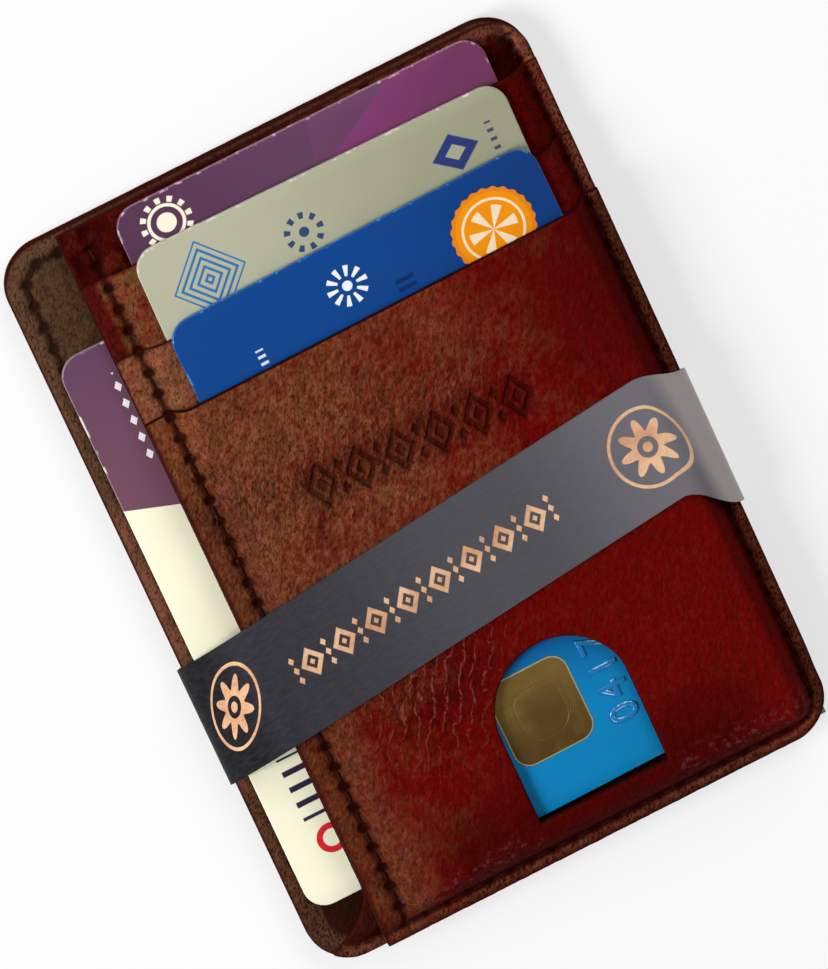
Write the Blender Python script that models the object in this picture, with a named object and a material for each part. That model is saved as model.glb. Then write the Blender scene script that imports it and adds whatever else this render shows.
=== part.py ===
"""A slim leather card holder: a sewn back, a block of three stepped card slots with a thumb
window, a side pocket between the two, four cards, and a paper belly band that slides off.

The holder lies on its back. +Z is up through the front face, +Y is the end where the cards
come out, and +X is the side where the slots are sewn to the back. Units are metres."""

import math

import bmesh
import bpy

# Cards
CARD_LENGTH = 0.0856
CARD_WIDTH = 0.05398
CARD_THICKNESS = 0.00076
CARD_CORNER = 0.00318
REAR_CARD_SHOWS = 0.0073
MIDDLE_CARD_SHOWS = 0.0122
FRONT_CARD_SHOWS = 0.0111
MIDDLE_CARD_TURN = math.radians(-0.8)
FRONT_CARD_TURN = math.radians(0.8)
SIDE_CARD_INSET = 0.0018
SIDE_CARD_DROP = 0.0162

# Contact plate of each card
CHIP_WIDTH = 0.0117
CHIP_LENGTH = 0.0130
CHIP_CORNER = 0.0024
CHIP_THICKNESS = 0.0002
CHIP_GAP = 0.00005
CHIP_FROM_SIDE = 0.0228
CHIP_FROM_END = 0.0135

# Leather plies and what is glued between them
PLY_GAP = 0.0001
OUTER_LEATHER = 0.0009
SHIELD_FILM = 0.0001
INNER_LEATHER = 0.0007
BASE_LEATHER = 0.0006
SLOT_LEATHER = 0.0005
LINING_CLOTH = 0.00015
FRONT_LEATHER = 0.0010
SHIELD_INSET = 0.0012
LINING_SETBACK = 0.0008
CORNER_RADIUS = 0.0063

# Seams, and the slopes where the leather climbs from a seam on to the cards
EDGE_SEAM_INSET = 0.00195
BACK_SEAM_INSET = 0.00275
BLOCK_SEAM_INSET = 0.0034
SEAM_CREASE = 0.0004
SWELL_RUN = 0.0026
BOTTOM_SWELL_RUN = 0.0040
THREAD_DIAMETER = 0.00025
THREAD_GAP = 0.00005
THREAD_END = 0.0030

# Slots
BLOCK_INSET = 0.0090
SLOT_SIDE_PLAY = 0.00054
SLOT_FOOT_PLAY = 0.0017
REAR_MOUTH_DROP = 0.0078
MIDDLE_MOUTH_DROP = 0.0111
FRONT_MOUTH_DROP = 0.0088
FRONT_MOUTH_RISE = 0.0010
SLOT_END_PLAY = 0.0003
SLOT_END_RUN = 0.0015
SLOT_TAIL = 0.0025
TAIL_FADE = 0.0050
FLARE_RISE = 0.0098

# Thumb window in the front
WINDOW_WIDTH = 0.0191
WINDOW_HEIGHT = 0.0232
WINDOW_LIP = 0.0080
WINDOW_OFFSET = 0.0052
WINDOW_LINING_MARGIN = 0.0003
WINDOW_SHIELD_MARGIN = 0.0010

# Belly band
BAND_WIDTH = 0.0178
BAND_PAPER = 0.0003
BAND_CLEARANCE = 0.0004
BAND_DROP = 0.0554
BAND_SKEW = math.radians(6.4)
BAND_LEAN = math.radians(20)
BAND_CREST_IN = 0.0090
BAND_SHOULDER_IN = 0.0042
BAND_SHOULDER_DROP = 0.0028
BAND_LAP = 0.0120
BAND_LAP_OFFSET = 0.0100

# Counts of facets and bends
CORNER_STEPS = 6
ARCH_STEPS = 14
FLARE_STEPS = 5
SWELL_STEPS = 4
THREAD_SIDE_STEPS = 2


def turned_length(turn):
    """How far a card reaches along the holder when it is turned about its top edge's middle."""
    return CARD_LENGTH * math.cos(turn) + CARD_WIDTH / 2 * math.sin(abs(turn))


def turned_width(turn):
    return CARD_WIDTH * math.cos(turn) + CARD_LENGTH * math.sin(abs(turn))


# Plan of the holder, worked out round the cards
slot_width = turned_width(FRONT_CARD_TURN) + 2 * SLOT_SIDE_PLAY
left_of_slots = BLOCK_INSET + BLOCK_SEAM_INSET + SEAM_CREASE + SWELL_RUN
right_of_slots = SWELL_RUN + SEAM_CREASE + EDGE_SEAM_INSET
body_width = left_of_slots + slot_width + right_of_slots
foot_margin = EDGE_SEAM_INSET + SEAM_CREASE + BOTTOM_SWELL_RUN
front_mouth_height = foot_margin + SLOT_FOOT_PLAY + turned_length(FRONT_CARD_TURN) - FRONT_CARD_SHOWS
body_length = front_mouth_height + FRONT_MOUTH_DROP + MIDDLE_MOUTH_DROP + REAR_MOUTH_DROP

half_width = body_width / 2
half_length = body_length / 2
block_left = -half_width + BLOCK_INSET
rear_mouth = half_length - REAR_MOUTH_DROP
middle_mouth = rear_mouth - MIDDLE_MOUTH_DROP
front_mouth = middle_mouth - FRONT_MOUTH_DROP

edge_seam_x = half_width - EDGE_SEAM_INSET
bottom_seam_y = -half_length + EDGE_SEAM_INSET
block_seam_x = block_left + BLOCK_SEAM_INSET
left_foot = block_seam_x + SEAM_CREASE
right_foot = edge_seam_x - SEAM_CREASE
bottom_foot = bottom_seam_y + SEAM_CREASE
slot_left = left_foot + SWELL_RUN
slot_right = right_foot - SWELL_RUN
slot_floor = bottom_foot + BOTTOM_SWELL_RUN
slot_middle = (slot_left + slot_right) / 2

rear_card_top = rear_mouth + REAR_CARD_SHOWS
middle_card_top = middle_mouth + MIDDLE_CARD_SHOWS
front_card_top = front_mouth + FRONT_CARD_SHOWS
side_card_top = half_length - SIDE_CARD_DROP
side_card_middle = -half_width + SIDE_CARD_INSET + CARD_WIDTH / 2

rear_slot_end = rear_card_top - CARD_LENGTH - SLOT_END_PLAY
rear_tail_end = rear_slot_end - SLOT_END_RUN - SLOT_TAIL
middle_card_end = middle_card_top - turned_length(MIDDLE_CARD_TURN)
middle_slot_end = min(middle_card_end - SLOT_END_PLAY, rear_tail_end - SLOT_END_PLAY)
middle_tail_end = middle_slot_end - SLOT_END_RUN - SLOT_TAIL

# Heights of the plies, from the table up
card_lift = CARD_THICKNESS + PLY_GAP
slot_ply = SLOT_LEATHER + PLY_GAP
lining_ply = LINING_CLOTH + PLY_GAP
shield_ply = SHIELD_FILM + PLY_GAP
thread_room = THREAD_DIAMETER + 2 * THREAD_GAP
thread_lift = THREAD_GAP + THREAD_DIAMETER / 2

outer_back_z = 2 * BAND_PAPER + thread_room
back_shield_z = outer_back_z + OUTER_LEATHER + PLY_GAP
inner_back_z = back_shield_z + shield_ply
inner_back_top = inner_back_z + INNER_LEATHER
side_card_z = inner_back_top + thread_room
base_z = inner_back_top + PLY_GAP
pocket_lift = side_card_z + CARD_THICKNESS + thread_room - base_z
over_base = BASE_LEATHER + PLY_GAP
rear_card_z = base_z + pocket_lift + over_base
middle_card_z = rear_card_z + card_lift + slot_ply
front_card_z = middle_card_z + card_lift + slot_ply
seam_face_z = base_z + over_base + 2 * slot_ply + lining_ply + shield_ply + FRONT_LEATHER
front_face_z = seam_face_z + pocket_lift + 3 * card_lift


def fade(value, foot, crest):
    """0 at the foot of a slope, 1 at its crest and beyond."""
    return min(1.0, max(0.0, (value - foot) / (crest - foot)))


def pocket_swell(x, y):
    """How far the side card holds the slots off the back, from 0 to 1."""
    return fade(x, right_foot, slot_right) * fade(y, bottom_foot, slot_floor)


def slot_swell(x, y):
    """How far the cards in the slots spread the leather, from 0 to 1."""
    return pocket_swell(x, y) * fade(x, left_foot, slot_left)


def base_height(x, y):
    return base_z + pocket_lift * pocket_swell(x, y)


def rear_panel_height(x, y):
    over_card = fade(y, rear_slot_end - SLOT_END_RUN, rear_slot_end)
    return base_height(x, y) + over_base + card_lift * slot_swell(x, y) * over_card


def middle_panel_height(x, y):
    over_card = fade(y, middle_slot_end - SLOT_END_RUN, middle_slot_end)
    spread = slot_ply + 2 * card_lift * slot_swell(x, y)
    return base_height(x, y) + over_base + spread * over_card


def lining_height(x, y):
    """Level over the cards. At the seams it comes down below the ends of the slot panels."""
    swell = slot_swell(x, y)
    beside = fade(y, middle_tail_end - TAIL_FADE, middle_tail_end)
    panels = 2 * slot_ply * (swell + (1 - swell) * beside)
    return base_height(x, y) + over_base + panels + 3 * card_lift * swell


def shield_height(x, y):
    return lining_height(x, y) + lining_ply


def front_height(x, y):
    return shield_height(x, y) + shield_ply


def face_height(x, y):
    """The top of the leather that shows at a place on the block."""
    if y > rear_mouth:
        return base_height(x, y) + BASE_LEATHER
    if y > middle_mouth:
        return rear_panel_height(x, y) + SLOT_LEATHER
    if y > mouth_at(x):
        return middle_panel_height(x, y) + SLOT_LEATHER
    return front_height(x, y) + FRONT_LEATHER


def mouth_at(x):
    """The front's mouth climbs a little towards the sewn side."""
    return front_mouth + FRONT_MOUTH_RISE * (x - slot_middle) / body_width


def bends(foot, crest, steps=SWELL_STEPS):
    """The lines on which a ply bends between a slope's foot and its crest."""
    return [foot + (crest - foot) * i / steps for i in range(steps + 1)]


for old in list(bpy.data.objects):
    bpy.data.objects.remove(old, do_unlink=True)

parts = bpy.data.collections.new("leather_card_holder")
cutters = bpy.data.collections.new("cutters")
bpy.context.scene.collection.children.link(parts)
bpy.context.scene.collection.children.link(cutters)


def linear(channel):
    """One 0-255 channel of a screen colour as the linear value that a shader takes."""
    value = channel / 255
    return value / 12.92 if value <= 0.04045 else ((value + 0.055) / 1.055) ** 2.4


def finish(name, colour, roughness, metallic=0.0):
    made = bpy.data.materials.new(name)
    made.use_nodes = True
    shader = made.node_tree.nodes["Principled BSDF"]
    shader.inputs["Base Color"].default_value = (*[linear(c) for c in colour], 1.0)
    shader.inputs["Roughness"].default_value = roughness
    shader.inputs["Metallic"].default_value = metallic
    return made


def arc(centre_x, centre_y, radius, start_degrees, end_degrees, steps=CORNER_STEPS):
    """Points of an arc, both ends included."""
    points = []
    for i in range(steps + 1):
        angle = math.radians(start_degrees + (end_degrees - start_degrees) * i / steps)
        points.append((centre_x + radius * math.cos(angle), centre_y + radius * math.sin(angle)))
    return points


def rounded_rectangle(left, low, right, high, radius):
    outline = arc(left + radius, low + radius, radius, 180, 270)
    outline += arc(right - radius, low + radius, radius, 270, 360)
    outline += arc(right - radius, high - radius, radius, 0, 90)
    outline += arc(left + radius, high - radius, radius, 90, 180)
    return outline


def filled(loops):
    """Flat faces inside the first loop and outside the others."""
    curve = bpy.data.curves.new("outline", "CURVE")
    curve.dimensions = "2D"
    curve.fill_mode = "FRONT"
    for loop in loops:
        spline = curve.splines.new("POLY")
        spline.points.add(len(loop) - 1)
        for point, (x, y) in zip(spline.points, loop):
            point.co = (x, y, 0, 1)
        spline.use_cyclic_u = True
    outline = bpy.data.objects.new("outline", curve)
    parts.objects.link(outline)
    bpy.context.view_layer.update()
    flat = outline.evaluated_get(bpy.context.evaluated_depsgraph_get()).to_mesh()
    made = bmesh.new()
    made.from_mesh(flat)
    bpy.data.objects.remove(outline, do_unlink=True)
    bmesh.ops.remove_doubles(made, verts=made.verts, dist=PLY_GAP / 100)
    flat_enough = math.radians(1)
    bmesh.ops.dissolve_limit(made, angle_limit=flat_enough, verts=made.verts, edges=made.edges)
    return made


def cut_across(made, x_lines, y_lines):
    for x in x_lines:
        everything = made.verts[:] + made.edges[:] + made.faces[:]
        bmesh.ops.bisect_plane(made, geom=everything, plane_co=(x, 0, 0), plane_no=(1, 0, 0))
    for y in y_lines:
        everything = made.verts[:] + made.edges[:] + made.faces[:]
        bmesh.ops.bisect_plane(made, geom=everything, plane_co=(0, y, 0), plane_no=(0, 1, 0))


def thickened(made, thickness):
    """Closes a sheet with a copy of it straight above, and gives that copy's vertices back."""
    bmesh.ops.triangulate(made, faces=made.faces)
    raised = bmesh.ops.extrude_face_region(made, geom=made.faces[:])
    upper = [part for part in raised["geom"] if isinstance(part, bmesh.types.BMVert)]
    bmesh.ops.translate(made, verts=upper, vec=(0, 0, thickness))
    bmesh.ops.recalc_face_normals(made, faces=made.faces)
    return upper


def placed(name, made, material, collection=parts):
    mesh = bpy.data.meshes.new(name)
    made.to_mesh(mesh)
    made.free()
    mesh.materials.append(material)
    piece = bpy.data.objects.new(name, mesh)
    collection.objects.link(piece)
    return piece


def ply(name, loops, thickness, height_at, material, x_lines=(), y_lines=()):
    """A sheet of leather, cloth or film that follows what lies under it."""
    made = filled(loops)
    cut_across(made, x_lines, y_lines)
    for vertex in made.verts:
        vertex.co.z = height_at(vertex.co.x, vertex.co.y)
    thickened(made, thickness)
    return placed(name, made, material)


def level(height):
    return lambda x, y: height


def thread(name, points, material):
    """A run of sewing thread along its points."""
    curve = bpy.data.curves.new(name, "CURVE")
    curve.dimensions = "3D"
    curve.bevel_depth = THREAD_DIAMETER / 2
    curve.bevel_resolution = THREAD_SIDE_STEPS
    curve.use_fill_caps = True
    spline = curve.splines.new("POLY")
    spline.points.add(len(points) - 1)
    for point, place in zip(spline.points, points):
        point.co = (*place, 1)
    curve.materials.append(material)
    run = bpy.data.objects.new(name, curve)
    parts.objects.link(run)
    return run


def thread_down_block(x, low):
    """Points of a thread down the block, with an upright step where it climbs each mouth."""
    points = [(x, half_length - THREAD_END, face_height(x, half_length) + thread_lift)]
    for mouth in (rear_mouth, middle_mouth, mouth_at(x)):
        before = mouth + thread_lift
        after = face_height(x, mouth - thread_lift) + thread_lift
        points.append((x, before, points[-1][2]))
        points.append((x, before, after))
    stations = [middle_tail_end, middle_tail_end - TAIL_FADE] + bends(bottom_foot, slot_floor)[::-1]
    for y in stations:
        if y > low:
            points.append((x, y, face_height(x, y) + thread_lift))
    points.append((x, low, face_height(x, low) + thread_lift))
    return points


# Finishes
outer_finish = finish("outer_back_leather", (92, 44, 30), 0.5)
film_finish = finish("back_shield_film", (176, 178, 182), 0.35, 0.9)
inner_finish = finish("inner_back_leather", (74, 54, 38), 0.55)
base_finish = finish("slot_base_leather", (84, 22, 18), 0.35)
rear_panel_finish = finish("rear_slot_leather", (106, 54, 38), 0.45)
middle_panel_finish = finish("middle_slot_leather", (112, 62, 42), 0.45)
lining_finish = finish("front_lining_cloth", (44, 30, 26), 0.85)
front_film_finish = finish("front_shield_film", (176, 178, 182), 0.35, 0.9)
front_finish = finish("front_leather", (104, 34, 24), 0.4)
thread_finish = finish("waxed_thread", (60, 26, 20), 0.6)
chip_finish = finish("chip_contacts", (190, 156, 84), 0.3, 0.9)
band_finish = finish("band_paper", (70, 72, 78), 0.5)


def back_plies():
    """Two leathers with the shielding film between them."""
    outline = rounded_rectangle(-half_width, -half_length, half_width, half_length, CORNER_RADIUS)
    film_x = half_width - SHIELD_INSET
    film_y = half_length - SHIELD_INSET
    film = rounded_rectangle(-film_x, -film_y, film_x, film_y, CORNER_RADIUS - SHIELD_INSET)
    ply("outer_back", [outline], OUTER_LEATHER, level(outer_back_z), outer_finish)
    ply("back_shield", [film], SHIELD_FILM, level(back_shield_z), film_finish)
    ply("inner_back", [outline], INNER_LEATHER, level(inner_back_z), inner_finish)


corner_x = half_width - CORNER_RADIUS
corner_y = half_length - CORNER_RADIUS
left_slope = bends(left_foot, slot_left)
right_slope = bends(right_foot, slot_right)
bottom_slope = bends(bottom_foot, slot_floor)


def base_ply():
    """The leather behind the slots, whose foot flares out to the corner of the back."""
    foot_x = -corner_x - CORNER_RADIUS * math.sin(math.pi / 4)
    foot_y = -corner_y - CORNER_RADIUS * math.cos(math.pi / 4)
    top_y = -half_length + FLARE_RISE
    outline = [(block_left, half_length)]
    for i in range(FLARE_STEPS):
        share = i / FLARE_STEPS
        outline.append((block_left + (foot_x - block_left) * share**2, top_y + (foot_y - top_y) * share))
    outline += arc(-corner_x, -corner_y, CORNER_RADIUS, 225, 270)
    outline += arc(corner_x, -corner_y, CORNER_RADIUS, 270, 360)
    outline += arc(corner_x, corner_y, CORNER_RADIUS, 0, 90)
    ply("slot_base", [outline], BASE_LEATHER, base_height, base_finish, right_slope, bottom_slope)


def slot_panels():
    """Two panels, each sewn shut across its tail, where its card stands."""
    rear = [
        (block_left, rear_tail_end),
        (half_width, rear_tail_end),
        (half_width, rear_mouth),
        (block_left, rear_mouth),
    ]
    middle = [
        (block_left, middle_tail_end),
        (half_width, middle_tail_end),
        (half_width, middle_mouth),
        (block_left, middle_mouth),
    ]
    ply(
        "rear_slot_panel", [rear], SLOT_LEATHER, rear_panel_height, rear_panel_finish,
        left_slope + right_slope, bends(rear_slot_end - SLOT_END_RUN, rear_slot_end, 1),
    )
    ply(
        "middle_slot_panel", [middle], SLOT_LEATHER, middle_panel_height, middle_panel_finish,
        left_slope + right_slope, bends(middle_slot_end - SLOT_END_RUN, middle_slot_end, 1),
    )


def front_outline(inset, setback):
    """The front's outline, drawn in from its cut edges and back from its mouth."""
    left = block_left + inset
    right = half_width - inset
    low = -half_length + inset
    outline = [(left, low)]
    outline += arc(corner_x, -corner_y, CORNER_RADIUS - inset, 270, 360)
    outline.append((right, mouth_at(right) - setback))
    outline.append((left, mouth_at(left) - setback))
    return outline


def window_loop(margin):
    """A flat lip at the foot, straight sides and a round arch."""
    radius = WINDOW_WIDTH / 2 + margin
    lip = -half_length + WINDOW_LIP - margin
    spring = -half_length + WINDOW_LIP + WINDOW_HEIGHT - WINDOW_WIDTH / 2
    loop = [(WINDOW_OFFSET - radius, lip), (WINDOW_OFFSET + radius, lip)]
    return loop + arc(WINDOW_OFFSET, spring, radius, 0, 180, ARCH_STEPS)


def front_plies():
    """The front with its shielding film and its lining, all cut through by the window."""
    across = left_slope + right_slope
    along = bottom_slope + bends(middle_tail_end - TAIL_FADE, middle_tail_end, 2)
    ply(
        "front_lining", [front_outline(0, LINING_SETBACK), window_loop(WINDOW_LINING_MARGIN)],
        LINING_CLOTH, lining_height, lining_finish, across, along,
    )
    ply(
        "front_shield",
        [front_outline(SHIELD_INSET, LINING_SETBACK), window_loop(WINDOW_SHIELD_MARGIN)],
        SHIELD_FILM, shield_height, front_film_finish, across, along,
    )
    ply(
        "front_panel", [front_outline(0, 0), window_loop(0)],
        FRONT_LEATHER, front_height, front_finish, across, along,
    )


def seam_threads():
    """The needle and bobbin threads of each seam."""
    bobbin_z = outer_back_z - thread_lift
    inner_z = inner_back_top + thread_lift
    seam_radius = CORNER_RADIUS - EDGE_SEAM_INSET

    join = thread_down_block(edge_seam_x, -corner_y)
    join_corner = arc(corner_x, -corner_y, seam_radius, 360, 270)
    join += [(x, y, face_height(x, y) + thread_lift) for x, y in join_corner[1:]]
    step_x = block_left - thread_lift
    join.append((step_x, bottom_seam_y, join[-1][2]))
    join.append((step_x, bottom_seam_y, base_z + BASE_LEATHER + thread_lift))
    join.append((-corner_x, bottom_seam_y, base_z + BASE_LEATHER + thread_lift))
    thread("joining_needle_thread", join, thread_finish)

    join_back = [(edge_seam_x, half_length - THREAD_END), *join_corner, (-corner_x, bottom_seam_y)]
    thread("joining_bobbin_thread", [(x, y, bobbin_z) for x, y in join_back], thread_finish)

    back_x = -half_width + BACK_SEAM_INSET
    back_y = half_length - BACK_SEAM_INSET
    back = [(back_x, -half_length + FLARE_RISE)]
    back += arc(-corner_x, corner_y, CORNER_RADIUS - BACK_SEAM_INSET, 180, 90)
    back.append((slot_right, back_y))
    thread("back_needle_thread", [(x, y, inner_z) for x, y in back], thread_finish)
    thread("back_bobbin_thread", [(x, y, bobbin_z) for x, y in back], thread_finish)

    thread("block_needle_thread", thread_down_block(block_seam_x, bottom_foot), thread_finish)
    under_base = base_z + pocket_lift - thread_lift
    block_back = [
        (block_seam_x, half_length - THREAD_END, under_base),
        (block_seam_x, slot_floor, under_base),
    ]
    thread("block_bobbin_thread", block_back, thread_finish)

    for name, end, height_at in (
        ("rear_slot_thread", rear_tail_end, rear_panel_height),
        ("middle_slot_thread", middle_tail_end, middle_panel_height),
    ):
        y = end + SLOT_TAIL / 2
        z = height_at(slot_middle, y) + SLOT_LEATHER + thread_lift
        thread(name, [(slot_left, y, z), (slot_right, y, z)], thread_finish)


def plate(name, outline, thickness, material, collection=parts):
    made = filled([outline])
    thickened(made, thickness)
    return placed(name, made, material, collection)


def card(name, middle_x, top_y, z, turn, colour):
    """A bank-size card whose origin is the middle of its top edge, with its contact plate."""
    half = CARD_WIDTH / 2
    outline = rounded_rectangle(-half, -CARD_LENGTH, half, 0, CARD_CORNER)
    body = plate(name, outline, CARD_THICKNESS, finish(name + "_plastic", colour, 0.35))
    body.location = (middle_x, top_y, z)
    body.rotation_euler.z = turn

    chip_x = -half + CHIP_FROM_SIDE
    chip_y = -CARD_LENGTH + CHIP_FROM_END
    seat_z = CARD_THICKNESS - CHIP_THICKNESS

    def chip_outline(gap):
        reach_x = CHIP_WIDTH / 2 + gap
        reach_y = CHIP_LENGTH / 2 + gap
        return rounded_rectangle(-reach_x, -reach_y, reach_x, reach_y, CHIP_CORNER + gap)

    recess = plate(
        name + "_recess_cutter", chip_outline(CHIP_GAP), CARD_THICKNESS, chip_finish, cutters
    )
    recess.location = (chip_x, chip_y, seat_z - CHIP_GAP)
    recess.hide_render = True
    recess.display_type = "WIRE"
    recess.parent = body
    pocket = body.modifiers.new("chip_recess", "BOOLEAN")
    pocket.operation = "DIFFERENCE"
    pocket.solver = "EXACT"
    pocket.object = recess

    chip = plate(name + "_chip", chip_outline(0), CHIP_THICKNESS, chip_finish)
    chip.location = (chip_x, chip_y, seat_z)
    chip.parent = body


def belly_band():
    """A printed paper strip round the holder, glued where its ends lap at the back."""
    side_x = half_width + BAND_CLEARANCE
    face_z = front_face_z + BAND_CLEARANCE
    back_z = BAND_PAPER
    lap_z = back_z + BAND_PAPER
    lap_left = BAND_LAP_OFFSET - BAND_LAP / 2
    lap_right = BAND_LAP_OFFSET + BAND_LAP / 2
    face = [
        (side_x, seam_face_z + BAND_CLEARANCE),
        (slot_right + BAND_CLEARANCE, face_z),
        (BAND_CREST_IN - side_x, face_z),
        (BAND_SHOULDER_IN - side_x, face_z - BAND_SHOULDER_DROP),
        (-side_x, inner_back_top + BAND_CLEARANCE),
    ]
    inside = [(-side_x, back_z), (side_x, back_z), *face]
    lap = [(lap_left, back_z), (lap_left, lap_z), (lap_right, lap_z), (lap_right, back_z)]
    made = filled([outset(inside, BAND_PAPER), [(-side_x, back_z), *lap, (side_x, back_z), *face]])
    upper = set(thickened(made, BAND_WIDTH))
    middle_y = half_length - BAND_DROP
    along = BAND_WIDTH / math.cos(BAND_SKEW)
    for vertex in made.verts:
        fallen = (face_z - vertex.co.y) * math.tan(BAND_LEAN)
        top_edge = middle_y + vertex.co.x * math.tan(BAND_SKEW) - fallen
        y = top_edge if vertex in upper else top_edge - along
        vertex.co = (vertex.co.x, y, vertex.co.y)
    bmesh.ops.reverse_faces(made, faces=made.faces)
    placed("belly_band", made, band_finish)


def outset(loop, distance):
    """An anticlockwise loop moved outwards by a distance, with its corners kept sharp."""
    moved = []
    for i, (x, y) in enumerate(loop):
        before = loop[i - 1]
        after = loop[(i + 1) % len(loop)]
        angle_in = math.atan2(y - before[1], x - before[0])
        angle_out = math.atan2(after[1] - y, after[0] - x)
        half_turn = ((angle_out - angle_in + math.pi) % (2 * math.pi) - math.pi) / 2
        way = angle_in + half_turn - math.pi / 2
        reach = distance / math.cos(half_turn)
        moved.append((x + reach * math.cos(way), y + reach * math.sin(way)))
    return moved


back_plies()
base_ply()
slot_panels()
front_plies()
seam_threads()
card("rear_card", slot_middle, rear_card_top, rear_card_z, 0, (90, 58, 82))
card("middle_card", slot_middle, middle_card_top, middle_card_z, MIDDLE_CARD_TURN, (179, 177, 146))
card("front_card", slot_middle, front_card_top, front_card_z, FRONT_CARD_TURN, (16, 92, 165))
card("side_card", side_card_middle, side_card_top, side_card_z, 0, (228, 222, 190))
belly_band()
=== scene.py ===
"""The looks of a slim leather card holder with four cards and a printed paper belly band.

The holder lies on its back. +Z is up through its front, +Y is the end where the cards come
out, and +X is the side where the slots are sewn to the back. Units are metres."""

import math

import bpy
import numpy as np
from mathutils import Matrix, Vector, noise


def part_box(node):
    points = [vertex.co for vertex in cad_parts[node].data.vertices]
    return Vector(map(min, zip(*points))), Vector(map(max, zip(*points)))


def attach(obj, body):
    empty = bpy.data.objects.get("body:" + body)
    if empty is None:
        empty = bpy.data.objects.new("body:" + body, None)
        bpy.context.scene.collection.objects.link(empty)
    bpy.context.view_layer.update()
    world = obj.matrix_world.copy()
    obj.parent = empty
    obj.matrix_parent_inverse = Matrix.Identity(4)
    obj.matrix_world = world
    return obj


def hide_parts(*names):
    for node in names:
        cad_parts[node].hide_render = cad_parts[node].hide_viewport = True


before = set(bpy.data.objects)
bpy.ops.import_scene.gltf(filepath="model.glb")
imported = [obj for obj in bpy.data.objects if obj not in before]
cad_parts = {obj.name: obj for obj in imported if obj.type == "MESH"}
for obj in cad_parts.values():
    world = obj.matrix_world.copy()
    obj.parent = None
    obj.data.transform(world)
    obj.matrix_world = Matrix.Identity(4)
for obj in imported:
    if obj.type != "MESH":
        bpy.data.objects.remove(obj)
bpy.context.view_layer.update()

# View. The holder is seen from a little beyond its card end, 21 degrees off straight down, and
# turned in the picture. The camera stands two metres off, so the view is almost parallel.
MM = 0.001
VIEW_DISTANCE = 2.0
VIEW_LENS = 559.7
view_back = Vector((-0.0856, 0.3471, 0.9339)).normalized()
view_up = Vector((0.4483, 0.8505, -0.2750))
view_up = (view_up - view_back * view_up.dot(view_back)).normalized()
view_aim = Vector((0.24, 0.14, 0)) * MM

view_lens = bpy.data.cameras.new("photo_view")
view_lens.lens = VIEW_LENS
view_lens.clip_end = 20
camera = bpy.data.objects.new("photo_view", view_lens)
bpy.context.scene.collection.objects.link(camera)
facing = Matrix((view_up.cross(view_back), view_up, view_back)).transposed()
camera.matrix_world = Matrix.Translation(view_aim + view_back * VIEW_DISTANCE) @ facing.to_4x4()
bpy.context.scene.camera = camera
bpy.context.scene.view_settings.view_transform = "Standard"


# Finishes. Each leather, plastic, foil and thread of the holder is wired from the same few
# nodes, by the calls below, with every pattern laid out in millimetres on the piece itself.
def ink(code):
    """A screen colour such as #5A0B06 as the linear colour that a shader takes."""
    channels = [int(code[i : i + 2], 16) / 255 for i in (1, 3, 5)]
    return (*[c / 12.92 if c <= 0.04045 else ((c + 0.055) / 1.055) ** 2.4 for c in channels], 1.0)


class Wire:
    """A value on its way through a finish, added and multiplied as a number is. `a | b` is the
    greater of the two and `a & b` the lesser."""

    def __init__(self, look, socket):
        self.look, self.socket = look, socket

    def sum(self, operation, other=0.0):
        return self.look.node("Math", {0: self, 1: other}, operation=operation)

    def __add__(self, other):
        return self.sum("ADD", other)

    def __sub__(self, other):
        return self.sum("SUBTRACT", other)

    def __mul__(self, other):
        return self.sum("MULTIPLY", other)

    def __or__(self, other):
        return self.sum("MAXIMUM", other)

    def __and__(self, other):
        return self.sum("MINIMUM", other)

    def __abs__(self):
        return self.sum("ABSOLUTE")

    def fade(self, low, high, bottom=0.0, top=1.0):
        ends = {0: self, 1: low, 2: high, 3: bottom, 4: top}
        return self.look.node("MapRange", ends, interpolation_type="SMOOTHSTEP")

    def within(self, middle, half, soft=0.06):
        return abs(self - middle).fade(half + soft, half - soft)

    def repeat(self, pitch, start=0.0):
        """The distance from the middle of the nearest of a row of like marks."""
        return (self - start).sum("FLOORED_MODULO", pitch) - pitch / 2


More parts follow.
